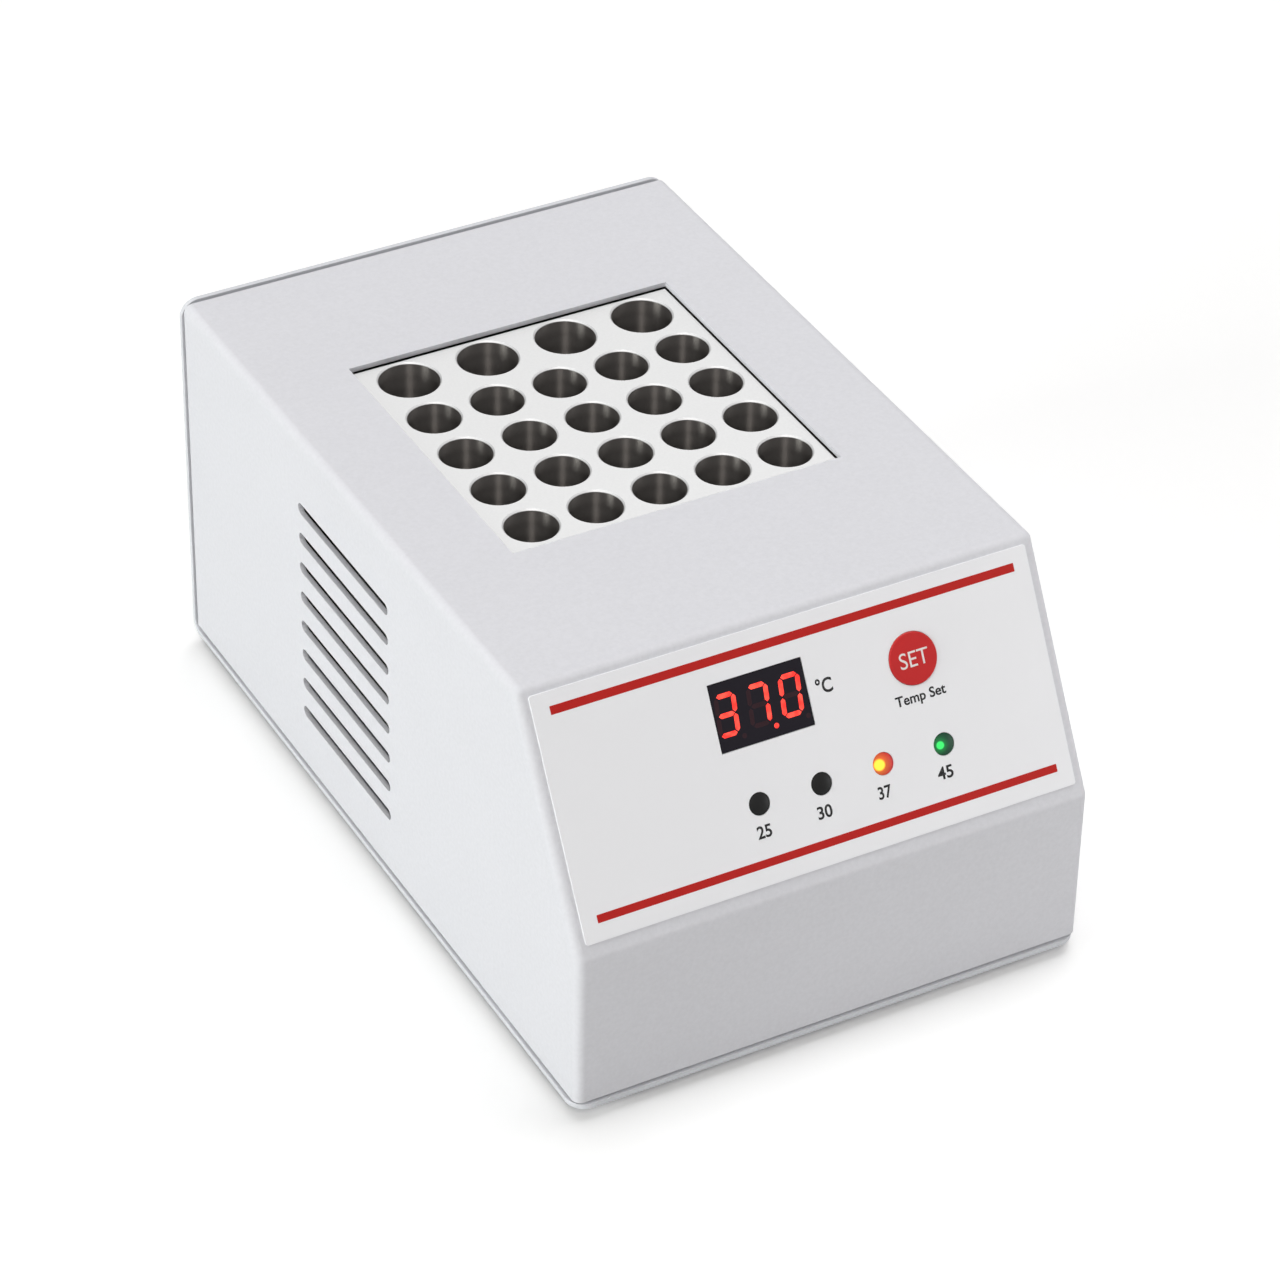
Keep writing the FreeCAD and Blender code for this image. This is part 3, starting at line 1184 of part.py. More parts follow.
def switch_housing():
    """Snap-in body of the mains switch, with its bezel and the rocker's well."""
    bezel_y = PLATE_OUTER_Y + SWITCH_BEZEL_THICKNESS
    half_width = SWITCH_BEZEL_WIDTH / 2
    half_height = SWITCH_BEZEL_HEIGHT / 2
    bezel = box(SWITCH_X - half_width, SWITCH_X + half_width, PLATE_OUTER_Y, bezel_y,
                SWITCH_Z - half_height, SWITCH_Z + half_height)
    bezel = side_fillet(bezel, 1.0, lambda middle, along: abs(along.y) > 0.9)
    bezel = side_fillet(bezel, 0.5, lambda middle, along: middle.y > bezel_y - FIT)
    half_width = SWITCH_BODY_WIDTH / 2
    half_height = SWITCH_BODY_HEIGHT / 2
    body = box(SWITCH_X - half_width, SWITCH_X + half_width, PLATE_OUTER_Y - SWITCH_BODY_DEPTH, PLATE_OUTER_Y,
               SWITCH_Z - half_height, SWITCH_Z + half_height)
    housing = bezel.fuse(body).removeSplitter()
    half_width = ROCKER_WIDTH / 2 + FIT
    well_floor = PLATE_OUTER_Y - ROCKER_PIVOT_DEPTH - SWITCH_WELL_BELOW_PIVOT
    housing = housing.cut(box(SWITCH_X - half_width, SWITCH_X + half_width, well_floor, bezel_y + 1,
                              SWITCH_Z - SWITCH_WELL_HALF, SWITCH_Z + SWITCH_WELL_HALF))
    axle = rod(V(SWITCH_X - SWITCH_BODY_WIDTH / 2, PLATE_OUTER_Y - ROCKER_PIVOT_DEPTH, SWITCH_Z), X_AXIS,
               TRUNNION_DIAMETER + 2 * TRUNNION_PLAY, SWITCH_BODY_WIDTH)
    housing = housing.cut(axle)
    for tab in switch_tabs():
        housing = housing.cut(tab)
    return housing


def switch_tabs():
    """Four solder tabs behind the mains switch."""
    tabs = []
    for side in (-1, 1):
        for level in (-1, 1):
            x = SWITCH_X + side * SWITCH_TAB_SPREAD
            z = SWITCH_Z + level * SWITCH_TAB_RISE
            tabs.append(box(x - SWITCH_TAB_HALF_WIDTH, x + SWITCH_TAB_HALF_WIDTH,
                            SWITCH_TAB_TAIL_Y, SWITCH_TAB_TAIL_Y + SWITCH_TAB_LENGTH,
                            z - SWITCH_TAB_HALF_HEIGHT, z + SWITCH_TAB_HALF_HEIGHT))
    return tabs


def power_rocker():
    """The rocker with its trunnions, its upper end pressed in: switched on."""
    pivot = V(SWITCH_X, PLATE_OUTER_Y - ROCKER_PIVOT_DEPTH, SWITCH_Z)
    rise = ROCKER_HALF_LENGTH * math.tan(math.radians(ROCKER_HALF_ANGLE))
    half = ROCKER_HALF_LENGTH
    outline = [(-half, ROCKER_VERTEX + rise), (0, ROCKER_VERTEX), (half, ROCKER_VERTEX + rise),
               (half - ROCKER_TAPER, ROCKER_SKIRT), (ROCKER_KEEL_HALF, -ROCKER_KEEL),
               (-ROCKER_KEEL_HALF, -ROCKER_KEEL), (-half + ROCKER_TAPER, ROCKER_SKIRT)]
    corners = [pivot + V(-ROCKER_WIDTH / 2, y, z) for z, y in outline]
    rocker = prism(corners, X_AXIS * ROCKER_WIDTH)
    reach = SWITCH_BODY_WIDTH / 2 - 0.3
    rocker = rocker.fuse(rod(pivot - X_AXIS * reach, X_AXIS, TRUNNION_DIAMETER, 2 * reach)).removeSplitter()
    rocker.rotate(pivot, X_AXIS, ROCKER_HALF_ANGLE)
    return rocker


def earth_stud():
    """A threaded stud welded to the tray, where the earth lead ends."""
    down = EARTH_STUD_PLACE - Z_AXIS * SHEET
    return rod(down, Z_AXIS, STUD_DIAMETER + 2 * FIT, SHEET + EARTH_STUD_HEIGHT)


def earth_nut():
    """The nut that holds the earth lead's ring."""
    seat = EARTH_STUD_PLACE + Z_AXIS * (2 * RING_GAP + RING_THICKNESS)
    return nut(seat, Z_AXIS, M4_HOLE, M4_NUT_ACROSS, M4_NUT_HEIGHT)


def earth_ring():
    """Ring terminal of the earth lead, with its crimped barrel standing up beside the nut."""
    base = EARTH_STUD_PLACE + Z_AXIS * RING_GAP
    ring = rod(base, Z_AXIS, RING_DIAMETER, RING_THICKNESS)
    tongue = box(base.x - RING_TONGUE_HALF, base.x + RING_TONGUE_HALF, base.y - RING_TONGUE_LENGTH, base.y,
                 base.z, base.z + RING_THICKNESS)
    barrel = rod(V(base.x, base.y - CRIMP_OFFSET, base.z), Z_AXIS, CRIMP_DIAMETER, CRIMP_HEIGHT)
    ring = ring.fuse(tongue).fuse(barrel).removeSplitter()
    return ring.cut(rod(base, Z_AXIS, M4_HOLE, RING_THICKNESS))


# Inner wiring, soldered or plugged face to face


def inlet_leads():
    """Line and neutral, from the inlet to the switch."""
    leads = []
    for side, drop in ((-1, 14.0), (1, 10.0)):
        x = INLET_X + side * BLADE_SPREAD
        tab_x = SWITCH_X - side * SWITCH_TAB_SPREAD
        tab_z = SWITCH_Z - SWITCH_TAB_RISE
        points = [V(x, TAIL_Y, LINE_BLADE_Z - BLADE_HALF_HEIGHT), V(x, TAIL_Y, drop), V(tab_x, TAIL_Y, drop),
                  V(tab_x, TAIL_Y, tab_z), V(tab_x, SWITCH_TAB_TAIL_Y, tab_z)]
        leads.append(lead(points, MAINS_LEAD_DIAMETER, 3.5))
    return leads


def switch_leads():
    """Line and neutral, from the switch to the terminal block."""
    leads = []
    tab_z = SWITCH_Z + SWITCH_TAB_RISE
    end_y = TERMINAL_REAR_Y
    end_z = POWER_TOP_Z + TERMINAL_SIZE / 2
    for side, turn_y, run_x, end_x in ((1, 66.8, -45.6, -41.0), (-1, 71.0, -42.2, -35.5)):
        x = SWITCH_X + side * SWITCH_TAB_SPREAD
        leads.append(lead([V(x, SWITCH_TAB_TAIL_Y, tab_z), V(x, turn_y, tab_z), V(run_x, turn_y, tab_z),
                           V(run_x, turn_y, end_z), V(run_x, end_y + 24, end_z), V(end_x, end_y + 10, end_z),
                           V(end_x, end_y, end_z)],
                          MAINS_LEAD_DIAMETER, 2.4))
    return leads


def earth_lead():
    """From the inlet's earth blade, over the inlet and down to the ring terminal."""
    over_z = INLET_Z + INLET_BODY_HEIGHT / 2 + 6
    stop = EARTH_STUD_PLACE + V(0, -CRIMP_OFFSET, RING_GAP + CRIMP_HEIGHT)
    points = [V(INLET_X, TAIL_Y, EARTH_BLADE_Z + BLADE_HALF_HEIGHT), V(INLET_X, TAIL_Y, over_z),
              V(stop.x, TAIL_Y, over_z), V(stop.x, stop.y, over_z), stop]
    return lead(points, MAINS_LEAD_DIAMETER, LEAD_RADIUS)


def heater_leads():
    """Three runs in series: mat to board, mat to the thermal cut-out, and cut-out to board."""
    mat_z = (MAT_BOTTOM_Z + BLOCK_BOTTOM_Z) / 2
    mat_y = BLOCK_FRONT_Y - HEATER_TAB_LENGTH
    tab_z = CLAMP_BOTTOM_Z - CUTOUT_HEIGHT - CUTOUT_TAB_LENGTH / 2
    tab_y = BLOCK_MIDDLE_Y - CUTOUT_TAB_HALF_WIDTH
    socket_y = POWER_BOARD_REAR_Y - SOCKET_INSET
    drop_y = socket_y + LEAD_DROP
    near_x = HEATER_LEAD_X + HEATER_LEAD_SPREAD
    far_x = HEATER_LEAD_X - HEATER_LEAD_SPREAD
    near_tab_x = CUTOUT_X + CUTOUT_TAB_SPREAD
    far_tab_x = CUTOUT_X - CUTOUT_TAB_SPREAD
    direct = [V(near_x, mat_y, mat_z), V(near_x, drop_y, mat_z), V(near_x, drop_y, CONNECTOR_Z),
              V(near_x, socket_y, CONNECTOR_Z)]
    to_cutout = [V(far_x, mat_y, mat_z), V(far_x, drop_y, mat_z), V(far_x, drop_y, tab_z),
                 V(far_x, tab_y - 16, tab_z), V(near_tab_x, tab_y - 8, tab_z), V(near_tab_x, tab_y, tab_z)]
    to_board = [V(far_tab_x, tab_y, tab_z), V(far_tab_x, drop_y + 10, tab_z),
                V(far_x, drop_y + 2, CONNECTOR_Z), V(far_x, socket_y, CONNECTOR_Z)]
    runs = (direct, to_cutout, to_board)
    return [lead(points, HEATER_LEAD_DIAMETER, HEATER_LEAD_RADIUS) for points in runs]


def sensor_lead():
    """The sensor's lead down to the power board."""
    start = BLOCK_FRONT_Y + SENSOR_BORE_DEPTH - SENSOR_LENGTH - 0.5
    socket_y = POWER_BOARD_REAR_Y - SOCKET_INSET
    drop_y = socket_y + LEAD_DROP - 1
    points = [V(SENSOR_X, start, SENSOR_Z), V(SENSOR_X, drop_y, SENSOR_Z),
              V(SENSOR_X, drop_y, CONNECTOR_Z), V(SENSOR_X, socket_y, CONNECTOR_Z)]
    return lead(points, SENSOR_LEAD_DIAMETER, HEATER_LEAD_RADIUS)


def ribbon_cable():
    """The flat cable between the control board and the power board."""
    width = RIBBON_X[1] - RIBBON_X[0] - 1
    x = (RIBBON_X[0] + RIBBON_X[1]) / 2
    start = panel_point(x, RIBBON_UP, BOARD_BACK_W - HEADER_HEIGHT)
    leave = panel_point(x, RIBBON_UP, BOARD_BACK_W - HEADER_HEIGHT - 9)
    foot = V(x, RIBBON_FOOT_Y, POWER_TOP_Z + HEADER_HEIGHT)
    path = path_wire([start, leave, foot + Z_AXIS * 12, foot], 3.0)
    out = (leave - start).normalize()
    across = X_AXIS * (width / 2)
    thick = out.cross(X_AXIS) * (RIBBON_THICKNESS / 2)
    corners = [start - across - thick, start + across - thick, start + across + thick, start - across + thick]
    section = Part.makePolygon(corners + [corners[0]])
    return path.makePipeShell([section], True, False)


# Output


def solids_of(result):
    """A node's solids, from one shape or a list."""
    shapes = result if isinstance(result, list) else [result]
    found = []
    for shape in shapes:
        found.extend(shape.Solids)
    return found


def export_node(name, result):
    """Writes one node and prints its solids and volume."""
    solids = solids_of(result)
    shape = solids[0] if len(solids) == 1 else Part.makeCompound(solids)
    for solid in solids:
        if not solid.isValid() or solid.Volume <= 0:
            raise ValueError("bad solid in " + name)
    shape.exportStep("parts/" + name + ".step")
    print(name, len(solids), round(shape.Volume, 2))


NODES = {
    "cover_shell": cover_shell, "base_tray": base_tray, "rubber_feet": rubber_feet,
    "foot_screws": foot_screws, "cover_brackets": cover_brackets, "cover_screws": cover_screws,
    "heating_block": heating_block, "heater_mat": heater_mat, "clamp_plate": clamp_plate,
    "floor_insulation": floor_insulation, "insulation_jacket": insulation_jacket,
    "block_posts": block_posts, "post_screws": post_screws,
    "temperature_sensor": temperature_sensor, "thermal_cutout": thermal_cutout,
    "front_label": front_label, "set_key": set_key, "key_switch": key_switch,
    "switch_plunger": switch_plunger, "display_module": display_module,
    "segments_lit": segments_lit, "segments_dark": segments_dark, "control_board": control_board,
    "panel_studs": panel_studs, "board_spacers": board_spacers, "m3_nuts": m3_nuts,
    "control_chip": control_chip, "control_header": control_header,
    "power_board": power_board, "power_spacers": power_spacers, "power_screws": power_screws,
    "transformer_core": transformer_core, "transformer_coil": transformer_coil,
    "smoothing_capacitors": smoothing_capacitors, "heater_relay": heater_relay,
    "terminal_block": terminal_block, "board_sockets": board_sockets,
    "inlet_housing": inlet_housing, "inlet_blades": inlet_blades, "inlet_screws": inlet_screws,
    "fuse_drawer": fuse_drawer, "fuses": fuses, "fuse_contacts": fuse_contacts,
    "switch_housing": switch_housing, "switch_tabs": switch_tabs, "power_rocker": power_rocker,
    "earth_stud": earth_stud, "earth_nut": earth_nut, "earth_ring": earth_ring,
    "inlet_leads": inlet_leads, "switch_leads": switch_leads, "earth_lead": earth_lead,
    "heater_leads": heater_leads, "sensor_lead": sensor_lead, "ribbon_cable": ribbon_cable,
}


def main():
    """Builds every node and writes it."""
    os.makedirs("parts", exist_ok=True)
    for name, build in NODES.items():
        export_node(name, build())
    for name in LAMP_ACROSS:
        export_node("lamp_" + name, lamp(name))


main()
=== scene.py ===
import math

import bpy
from mathutils import Matrix, Vector


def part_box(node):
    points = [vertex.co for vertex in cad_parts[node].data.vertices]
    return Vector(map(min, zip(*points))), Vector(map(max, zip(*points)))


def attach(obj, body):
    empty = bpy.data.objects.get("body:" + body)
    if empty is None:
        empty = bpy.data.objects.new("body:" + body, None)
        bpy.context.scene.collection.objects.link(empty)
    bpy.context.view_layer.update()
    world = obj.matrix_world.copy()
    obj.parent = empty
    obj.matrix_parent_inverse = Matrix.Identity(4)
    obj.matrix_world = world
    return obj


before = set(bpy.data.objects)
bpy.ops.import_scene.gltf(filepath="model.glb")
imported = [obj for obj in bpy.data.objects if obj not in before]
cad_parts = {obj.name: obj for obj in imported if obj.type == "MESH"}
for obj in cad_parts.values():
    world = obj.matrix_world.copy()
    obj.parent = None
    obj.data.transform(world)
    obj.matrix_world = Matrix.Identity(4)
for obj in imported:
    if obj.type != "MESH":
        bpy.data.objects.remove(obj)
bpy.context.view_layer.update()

bl_info = {
    "name": "Dry Block Heater",
    "version": (1, 0, 0),
    "blender": (4, 5, 0),
    "location": "3D View > Sidebar > Block Heater",
    "description": "Finishes and printed details for a bench dry block heater",
    "category": "Object",
}

MM = 0.001

# The sloped front: where its lower fold lies, and how far it rises and runs back from there
FOLD_Y = -99.75 * MM
FOLD_Z = 43.8 * MM
SLOPE_RISE, SLOPE_RUN = 51.7, 29.25
SLOPE_ANGLE = math.atan2(SLOPE_RISE, SLOPE_RUN)

# How far the film's and the key's faces stand out of the slope
FILM_FACE = 0.3 * MM
KEY_FACE = 0.6 * MM

# The print, in millimetres across from the slope's middle and up from its lower fold
FIGURE_ROW = 14.78
FIGURE_HEIGHT = 2.85
LAMP_ROW = 20.8
CAPTION_WEIGHT = 0.02
INK_CORNER = 0.12 * MM

# Each lamp's light chip sits to the left of the lens's middle, in millimetres
CHIP_OFFSET = -1.0

# The block's top face, and depths where its satin face turns into drilled wall and painted shade
BLOCK_TOP_Z = 94.4 * MM
FACE_EDGE = 0.25 * MM
WALL_EDGE = 0.6 * MM

# The mains switch on the rear plate, its rocker's faces and the marks on them
ROCKER_PIVOT = Vector((-28.0, 93.0, 31.0)) * MM
ROCKER_FACE = 5.4 * MM
ROCKER_ANGLE = math.radians(6.0)
ROCKER_MARK_OFFSET = 4.4 * MM
ROCKER_MARK_HEIGHT = 2.9

# The studio, in metres: the floor lies just under the feet, and the lamps point at the heater
FLOOR_SIZE = 12.0
FLOOR_Z = -0.2 * MM
PAPER_BOUNCE = 0.85
PAPER_SEEN = 1.05
PAPER_GLOW = 0.1
LAMP_AIM = Vector((0, 0, 0.04))
CAMERA_PLACE = Vector((-432.7, -788.35, 701.0)) * MM
CAMERA_VIEW = Vector((0.39194, 0.70477, -0.59132))
CAMERA_RIGHT = Vector((0.87964, -0.47535, 0.01650))
SENSOR_WIDTH = 36.0

# The Mix node's own sockets: two numbers to mix, two colours to mix, and the mixed colour
NUMBER_A, NUMBER_B = 2, 3
COLOUR_A, COLOUR_B = 6, 7
MIXED_COLOUR = 2

WHITE = (1.0, 1.0, 1.0)


def linear(hex_colour):
    """An sRGB hex colour as linear red, green and blue."""
    channels = []
    for start in (1, 3, 5):
        value = int(hex_colour[start:start + 2], 16) / 255
        channels.append(value / 12.92 if value <= 0.04045 else ((value + 0.055) / 1.055) ** 2.4)
    return tuple(channels)


def opaque(colour):
    """A colour with full alpha, as a colour socket takes it."""
    return (colour[0], colour[1], colour[2], 1.0)


# Materials


def add_node(tree, kind, inputs=None, **settings):
    """Adds one node, sets its properties, and fills or links its inputs."""
    made = tree.nodes.new(kind)
    for name, value in settings.items():
        setattr(made, name, value)
    for socket, value in (inputs or {}).items():
        if isinstance(value, bpy.types.NodeSocket):
            tree.links.new(value, made.inputs[socket])
        else:
            made.inputs[socket].default_value = value
    return made


def start_material(name):
    """An empty node material."""
    material = bpy.data.materials.new(name)
    material.use_nodes = True
    material.node_tree.nodes.clear()
    return material, material.node_tree


def close_material(material, tree, shader):
    """Links the finished shader to the output."""
    add_node(tree, "ShaderNodeOutputMaterial", {"Surface": shader.outputs[0]})
    return material


def grain(size_mm):
    """Noise scale, per metre, for features of a real size in millimetres."""
    return 1.0 / (size_mm * MM)


def powder_coat(name, colour, texture_mm):
    """Polyester powder coat, sprayed and baked on sheet steel: a fine orange peel that softens
    highlights."""
    material, tree = start_material(name)
    place = add_node(tree, "ShaderNodeTexCoord").outputs["Object"]
    peel = add_node(tree, "ShaderNodeTexNoise", {
        "Vector": place, "Scale": grain(texture_mm), "Detail": 3.0, "Roughness": 0.6})
    cloud = add_node(tree, "ShaderNodeTexNoise", {
        "Vector": place, "Scale": grain(28.0), "Detail": 2.0})
    tone = add_node(tree, "ShaderNodeMapRange", {
        "Value": peel.outputs["Fac"], "From Min": 0.3, "From Max": 0.7,
        "To Min": 0.965, "To Max": 1.02})
    drift = add_node(tree, "ShaderNodeMapRange", {
        "Value": cloud.outputs["Fac"], "To Min": 0.985, "To Max": 1.015})
    level = add_node(tree, "ShaderNodeMath", {0: tone.outputs[0], 1: drift.outputs[0]},
                     operation="MULTIPLY")
    tint = add_node(tree, "ShaderNodeVectorMath", {0: colour, "Scale": level.outputs[0]},
                    operation="SCALE")
    gloss = add_node(tree, "ShaderNodeMapRange", {
        "Value": peel.outputs["Fac"], "To Min": 0.62, "To Max": 0.78})
    bump = add_node(tree, "ShaderNodeBump", {
        "Height": peel.outputs["Fac"], "Distance": 0.03 * MM, "Strength": 0.6})
    shader = add_node(tree, "ShaderNodeBsdfPrincipled", {
        "Base Color": tint.outputs[0], "Roughness": gloss.outputs[0],
        "Normal": bump.outputs[0], "IOR": 1.5})
    return close_material(material, tree, shader)


def moulded_plastic(name, colour, roughness, texture_mm=0.4, depth_mm=0.01, ior=1.46):
    """Injection-moulded plastic: spark-eroded texture, its colour even to a few percent."""
    material, tree = start_material(name)
    place = add_node(tree, "ShaderNodeTexCoord").outputs["Object"]
    spark = add_node(tree, "ShaderNodeTexNoise", {
        "Vector": place, "Scale": grain(texture_mm), "Detail": 2.0})
    flow = add_node(tree, "ShaderNodeTexNoise", {
        "Vector": place, "Scale": grain(6.0), "Detail": 1.0})
    tone = add_node(tree, "ShaderNodeMapRange", {
        "Value": flow.outputs["Fac"], "To Min": 0.93, "To Max": 1.07})
    tint = add_node(tree, "ShaderNodeVectorMath", {0: colour, "Scale": tone.outputs[0]},
                    operation="SCALE")
    gloss = add_node(tree, "ShaderNodeMapRange", {
        "Value": spark.outputs["Fac"], "To Min": roughness * 0.85,
        "To Max": min(1.0, roughness * 1.15)})
    bump = add_node(tree, "ShaderNodeBump", {
        "Height": spark.outputs["Fac"], "Distance": depth_mm * MM, "Strength": 0.5})
    shader = add_node(tree, "ShaderNodeBsdfPrincipled", {
        "Base Color": tint.outputs[0], "Roughness": gloss.outputs[0],
        "Normal": bump.outputs[0], "IOR": ior})
    return close_material(material, tree, shader)


def plain_metal(name, colour, roughness, streak_mm=(0.3, 0.3, 6.0), variation=0.06):
    """Drawn, stamped or plated metal: fine streaks along one direction."""
    material, tree = start_material(name)
    place = add_node(tree, "ShaderNodeTexCoord").outputs["Object"]
    stretched = add_node(tree, "ShaderNodeMapping", {
        "Vector": place, "Scale": [grain(mm) for mm in streak_mm]})
    streak = add_node(tree, "ShaderNodeTexNoise", {
        "Vector": stretched.outputs[0], "Scale": 1.0, "Detail": 2.0})
    tone = add_node(tree, "ShaderNodeMapRange", {
        "Value": streak.outputs["Fac"], "To Min": 1 - variation, "To Max": 1 + variation})
    tint = add_node(tree, "ShaderNodeVectorMath", {0: colour, "Scale": tone.outputs[0]},
                    operation="SCALE")
    gloss = add_node(tree, "ShaderNodeMapRange", {
        "Value": streak.outputs["Fac"], "To Min": roughness * 0.8, "To Max": roughness * 1.2})
    shader = add_node(tree, "ShaderNodeBsdfPrincipled", {
        "Base Color": tint.outputs[0], "Metallic": 1.0, "Roughness": gloss.outputs[0]})
    return close_material(material, tree, shader)


def blasted_aluminium(name, face_colour, wall_painted_shade_colour, top_z):
    """Clear-anodised aluminium: faces bead-blasted to a pale satin, drilled walls given a darker
    colour as painted shade, their tool rings drawing each highlight out into an upright streak."""
    material, tree = start_material(name)
    place = add_node(tree, "ShaderNodeTexCoord").outputs["Object"]
    axes = add_node(tree, "ShaderNodeSeparateXYZ", {"Vector": place})
    height = add_node(tree, "ShaderNodeMapRange", {
        "Value": axes.outputs["Z"], "From Min": top_z - WALL_EDGE,
        "From Max": top_z - FACE_EDGE})
    bead = add_node(tree, "ShaderNodeTexNoise", {
        "Vector": place, "Scale": grain(0.5), "Detail": 2.0})
    ring = add_node(tree, "ShaderNodeTexWave", {
        "Vector": place, "Scale": grain(12.0), "Distortion": 1.5, "Detail": 1.0,
        "Detail Scale": 60.0}, wave_type="BANDS", bands_direction="Z")
    # Below the mouth the wall colour is darker: painted shade inside the wells
    colour = add_node(tree, "ShaderNodeMix", {
        "Factor": height.outputs[0], COLOUR_A: opaque(wall_painted_shade_colour),
        COLOUR_B: opaque(face_colour)}, data_type="RGBA")
    speck = add_node(tree, "ShaderNodeMapRange", {
        "Value": bead.outputs["Fac"], "To Min": 0.95, "To Max": 1.05})
    tint = add_node(tree, "ShaderNodeVectorMath", {
        0: colour.outputs[MIXED_COLOUR], "Scale": speck.outputs[0]}, operation="SCALE")
    wall_gloss = add_node(tree, "ShaderNodeMapRange", {
        "Value": ring.outputs["Fac"], "To Min": 0.42, "To Max": 0.50})
    gloss = add_node(tree, "ShaderNodeMix", {
        "Factor": height.outputs[0], NUMBER_A: wall_gloss.outputs[0], NUMBER_B: 0.55})
    streak = add_node(tree, "ShaderNodeMapRange", {
        "Value": height.outputs[0], "To Min": 1.0, "To Max": 0.0})
    upright = add_node(tree, "ShaderNodeCombineXYZ", {"Z": 1.0})
    shader = add_node(tree, "ShaderNodeBsdfPrincipled", {
        "Base Color": tint.outputs[0], "Metallic": 1.0, "Roughness": gloss.outputs[0],
        "Anisotropic": streak.outputs[0], "Tangent": upright.outputs[0]})
    return close_material(material, tree, shader)


def printed_film(name, colour):
    """Matt-laminated polyester film, screen-printed from behind: very even, with a soft dry
    sheen."""
    material, tree = start_material(name)
    place = add_node(tree, "ShaderNodeTexCoord").outputs["Object"]
    grit = add_node(tree, "ShaderNodeTexNoise", {
        "Vector": place, "Scale": grain(0.35), "Detail": 2.0})
    wave = add_node(tree, "ShaderNodeTexNoise", {
        "Vector": place, "Scale": grain(45.0), "Detail": 1.0})
    tone = add_node(tree, "ShaderNodeMapRange", {
        "Value": wave.outputs["Fac"], "To Min": 0.985, "To Max": 1.015})
    tint = add_node(tree, "ShaderNodeVectorMath", {0: colour, "Scale": tone.outputs[0]},
                    operation="SCALE")
    gloss = add_node(tree, "ShaderNodeMapRange", {
        "Value": grit.outputs["Fac"], "To Min": 0.40, "To Max": 0.52})
    bump = add_node(tree, "ShaderNodeBump", {
        "Height": grit.outputs["Fac"], "Distance": 0.004 * MM, "Strength": 0.4})
    shader = add_node(tree, "ShaderNodeBsdfPrincipled", {
        "Base Color": tint.outputs[0], "Roughness": gloss.outputs[0],
        "Normal": bump.outputs[0], "IOR": 1.5})
    return close_material(material, tree, shader)


def screen_ink(name, colour):
    """Screen-printed ink: nearly even, with the faint unevenness of a squeegee pull."""
    material, tree = start_material(name)
    place = add_node(tree, "ShaderNodeTexCoord").outputs["Object"]
    pull = add_node(tree, "ShaderNodeTexNoise", {
        "Vector": place, "Scale": grain(2.5), "Detail": 3.0})
    tone = add_node(tree, "ShaderNodeMapRange", {
        "Value": pull.outputs["Fac"], "To Min": 0.93, "To Max": 1.06})
    tint = add_node(tree, "ShaderNodeVectorMath", {0: colour, "Scale": tone.outputs[0]},
                    operation="SCALE")
    shader = add_node(tree, "ShaderNodeBsdfPrincipled", {
        "Base Color": tint.outputs[0], "Roughness": 0.45, "IOR": 1.35})
    return close_material(material, tree, shader)


def glowing_segment(name, core, edge, strength):
    """A light segment's resin, lit from below: even, a little paler where the chip sits."""
    material, tree = start_material(name)
    place = add_node(tree, "ShaderNodeTexCoord").outputs["Object"]
    chip = add_node(tree, "ShaderNodeTexNoise", {
        "Vector": place, "Scale": grain(1.6), "Detail": 1.0})
    share = add_node(tree, "ShaderNodeMapRange", {
        "Value": chip.outputs["Fac"], "From Min": 0.35, "From Max": 0.65})
    tint = add_node(tree, "ShaderNodeMix", {
        "Factor": share.outputs[0], COLOUR_A: opaque(edge), COLOUR_B: opaque(core)},
        data_type="RGBA")
    shader = add_node(tree, "ShaderNodeBsdfPrincipled", {
        "Base Color": opaque(edge), "Roughness": 0.35,
        "Emission Color": tint.outputs[MIXED_COLOUR], "Emission Strength": strength})
    return close_material(material, tree, shader)


def lamp_lens(name, body, chip_colour, chip_place, chip_radius_mm, strength):
    """A diffused epoxy lamp lens: dark until lit, then its chip shows as a soft ball of light
    to one side, inside a wider, fainter halo."""
    material, tree = start_material(name)
    place = add_node(tree, "ShaderNodeTexCoord").outputs["Object"]
    away = add_node(tree, "ShaderNodeVectorMath", {0: place, 1: chip_place},
                    operation="DISTANCE")
    core = add_node(tree, "ShaderNodeMapRange", {
        "Value": away.outputs["Value"], "From Min": chip_radius_mm * 0.75 * MM,
        "From Max": chip_radius_mm * 1.1 * MM, "To Min": 1.0, "To Max": 0.0},
        interpolation_type="SMOOTHSTEP")
    halo = add_node(tree, "ShaderNodeMapRange", {
        "Value": away.outputs["Value"], "From Min": 0.0,
        "From Max": chip_radius_mm * 2.6 * MM, "To Min": 0.30, "To Max": 0.0},
        interpolation_type="SMOOTHSTEP")
    light = add_node(tree, "ShaderNodeMath", {0: core.outputs[0], 1: halo.outputs[0]},
                     operation="ADD")
    power = add_node(tree, "ShaderNodeMath", {0: light.outputs[0], 1: strength},
                     operation="MULTIPLY")
    haze = add_node(tree, "ShaderNodeTexNoise", {
        "Vector": place, "Scale": grain(1.2), "Detail": 1.0})
    tone = add_node(tree, "ShaderNodeMapRange", {
        "Value": haze.outputs["Fac"], "To Min": 0.9, "To Max": 1.1})
    tint = add_node(tree, "ShaderNodeVectorMath", {0: body, "Scale": tone.outputs[0]},
                    operation="SCALE")
    shader = add_node(tree, "ShaderNodeBsdfPrincipled", {
        "Base Color": tint.outputs[0], "Roughness": 0.4, "IOR": 1.3,
        "Emission Color": opaque(chip_colour), "Emission Strength": power.outputs[0]})
    return close_material(material, tree, shader)


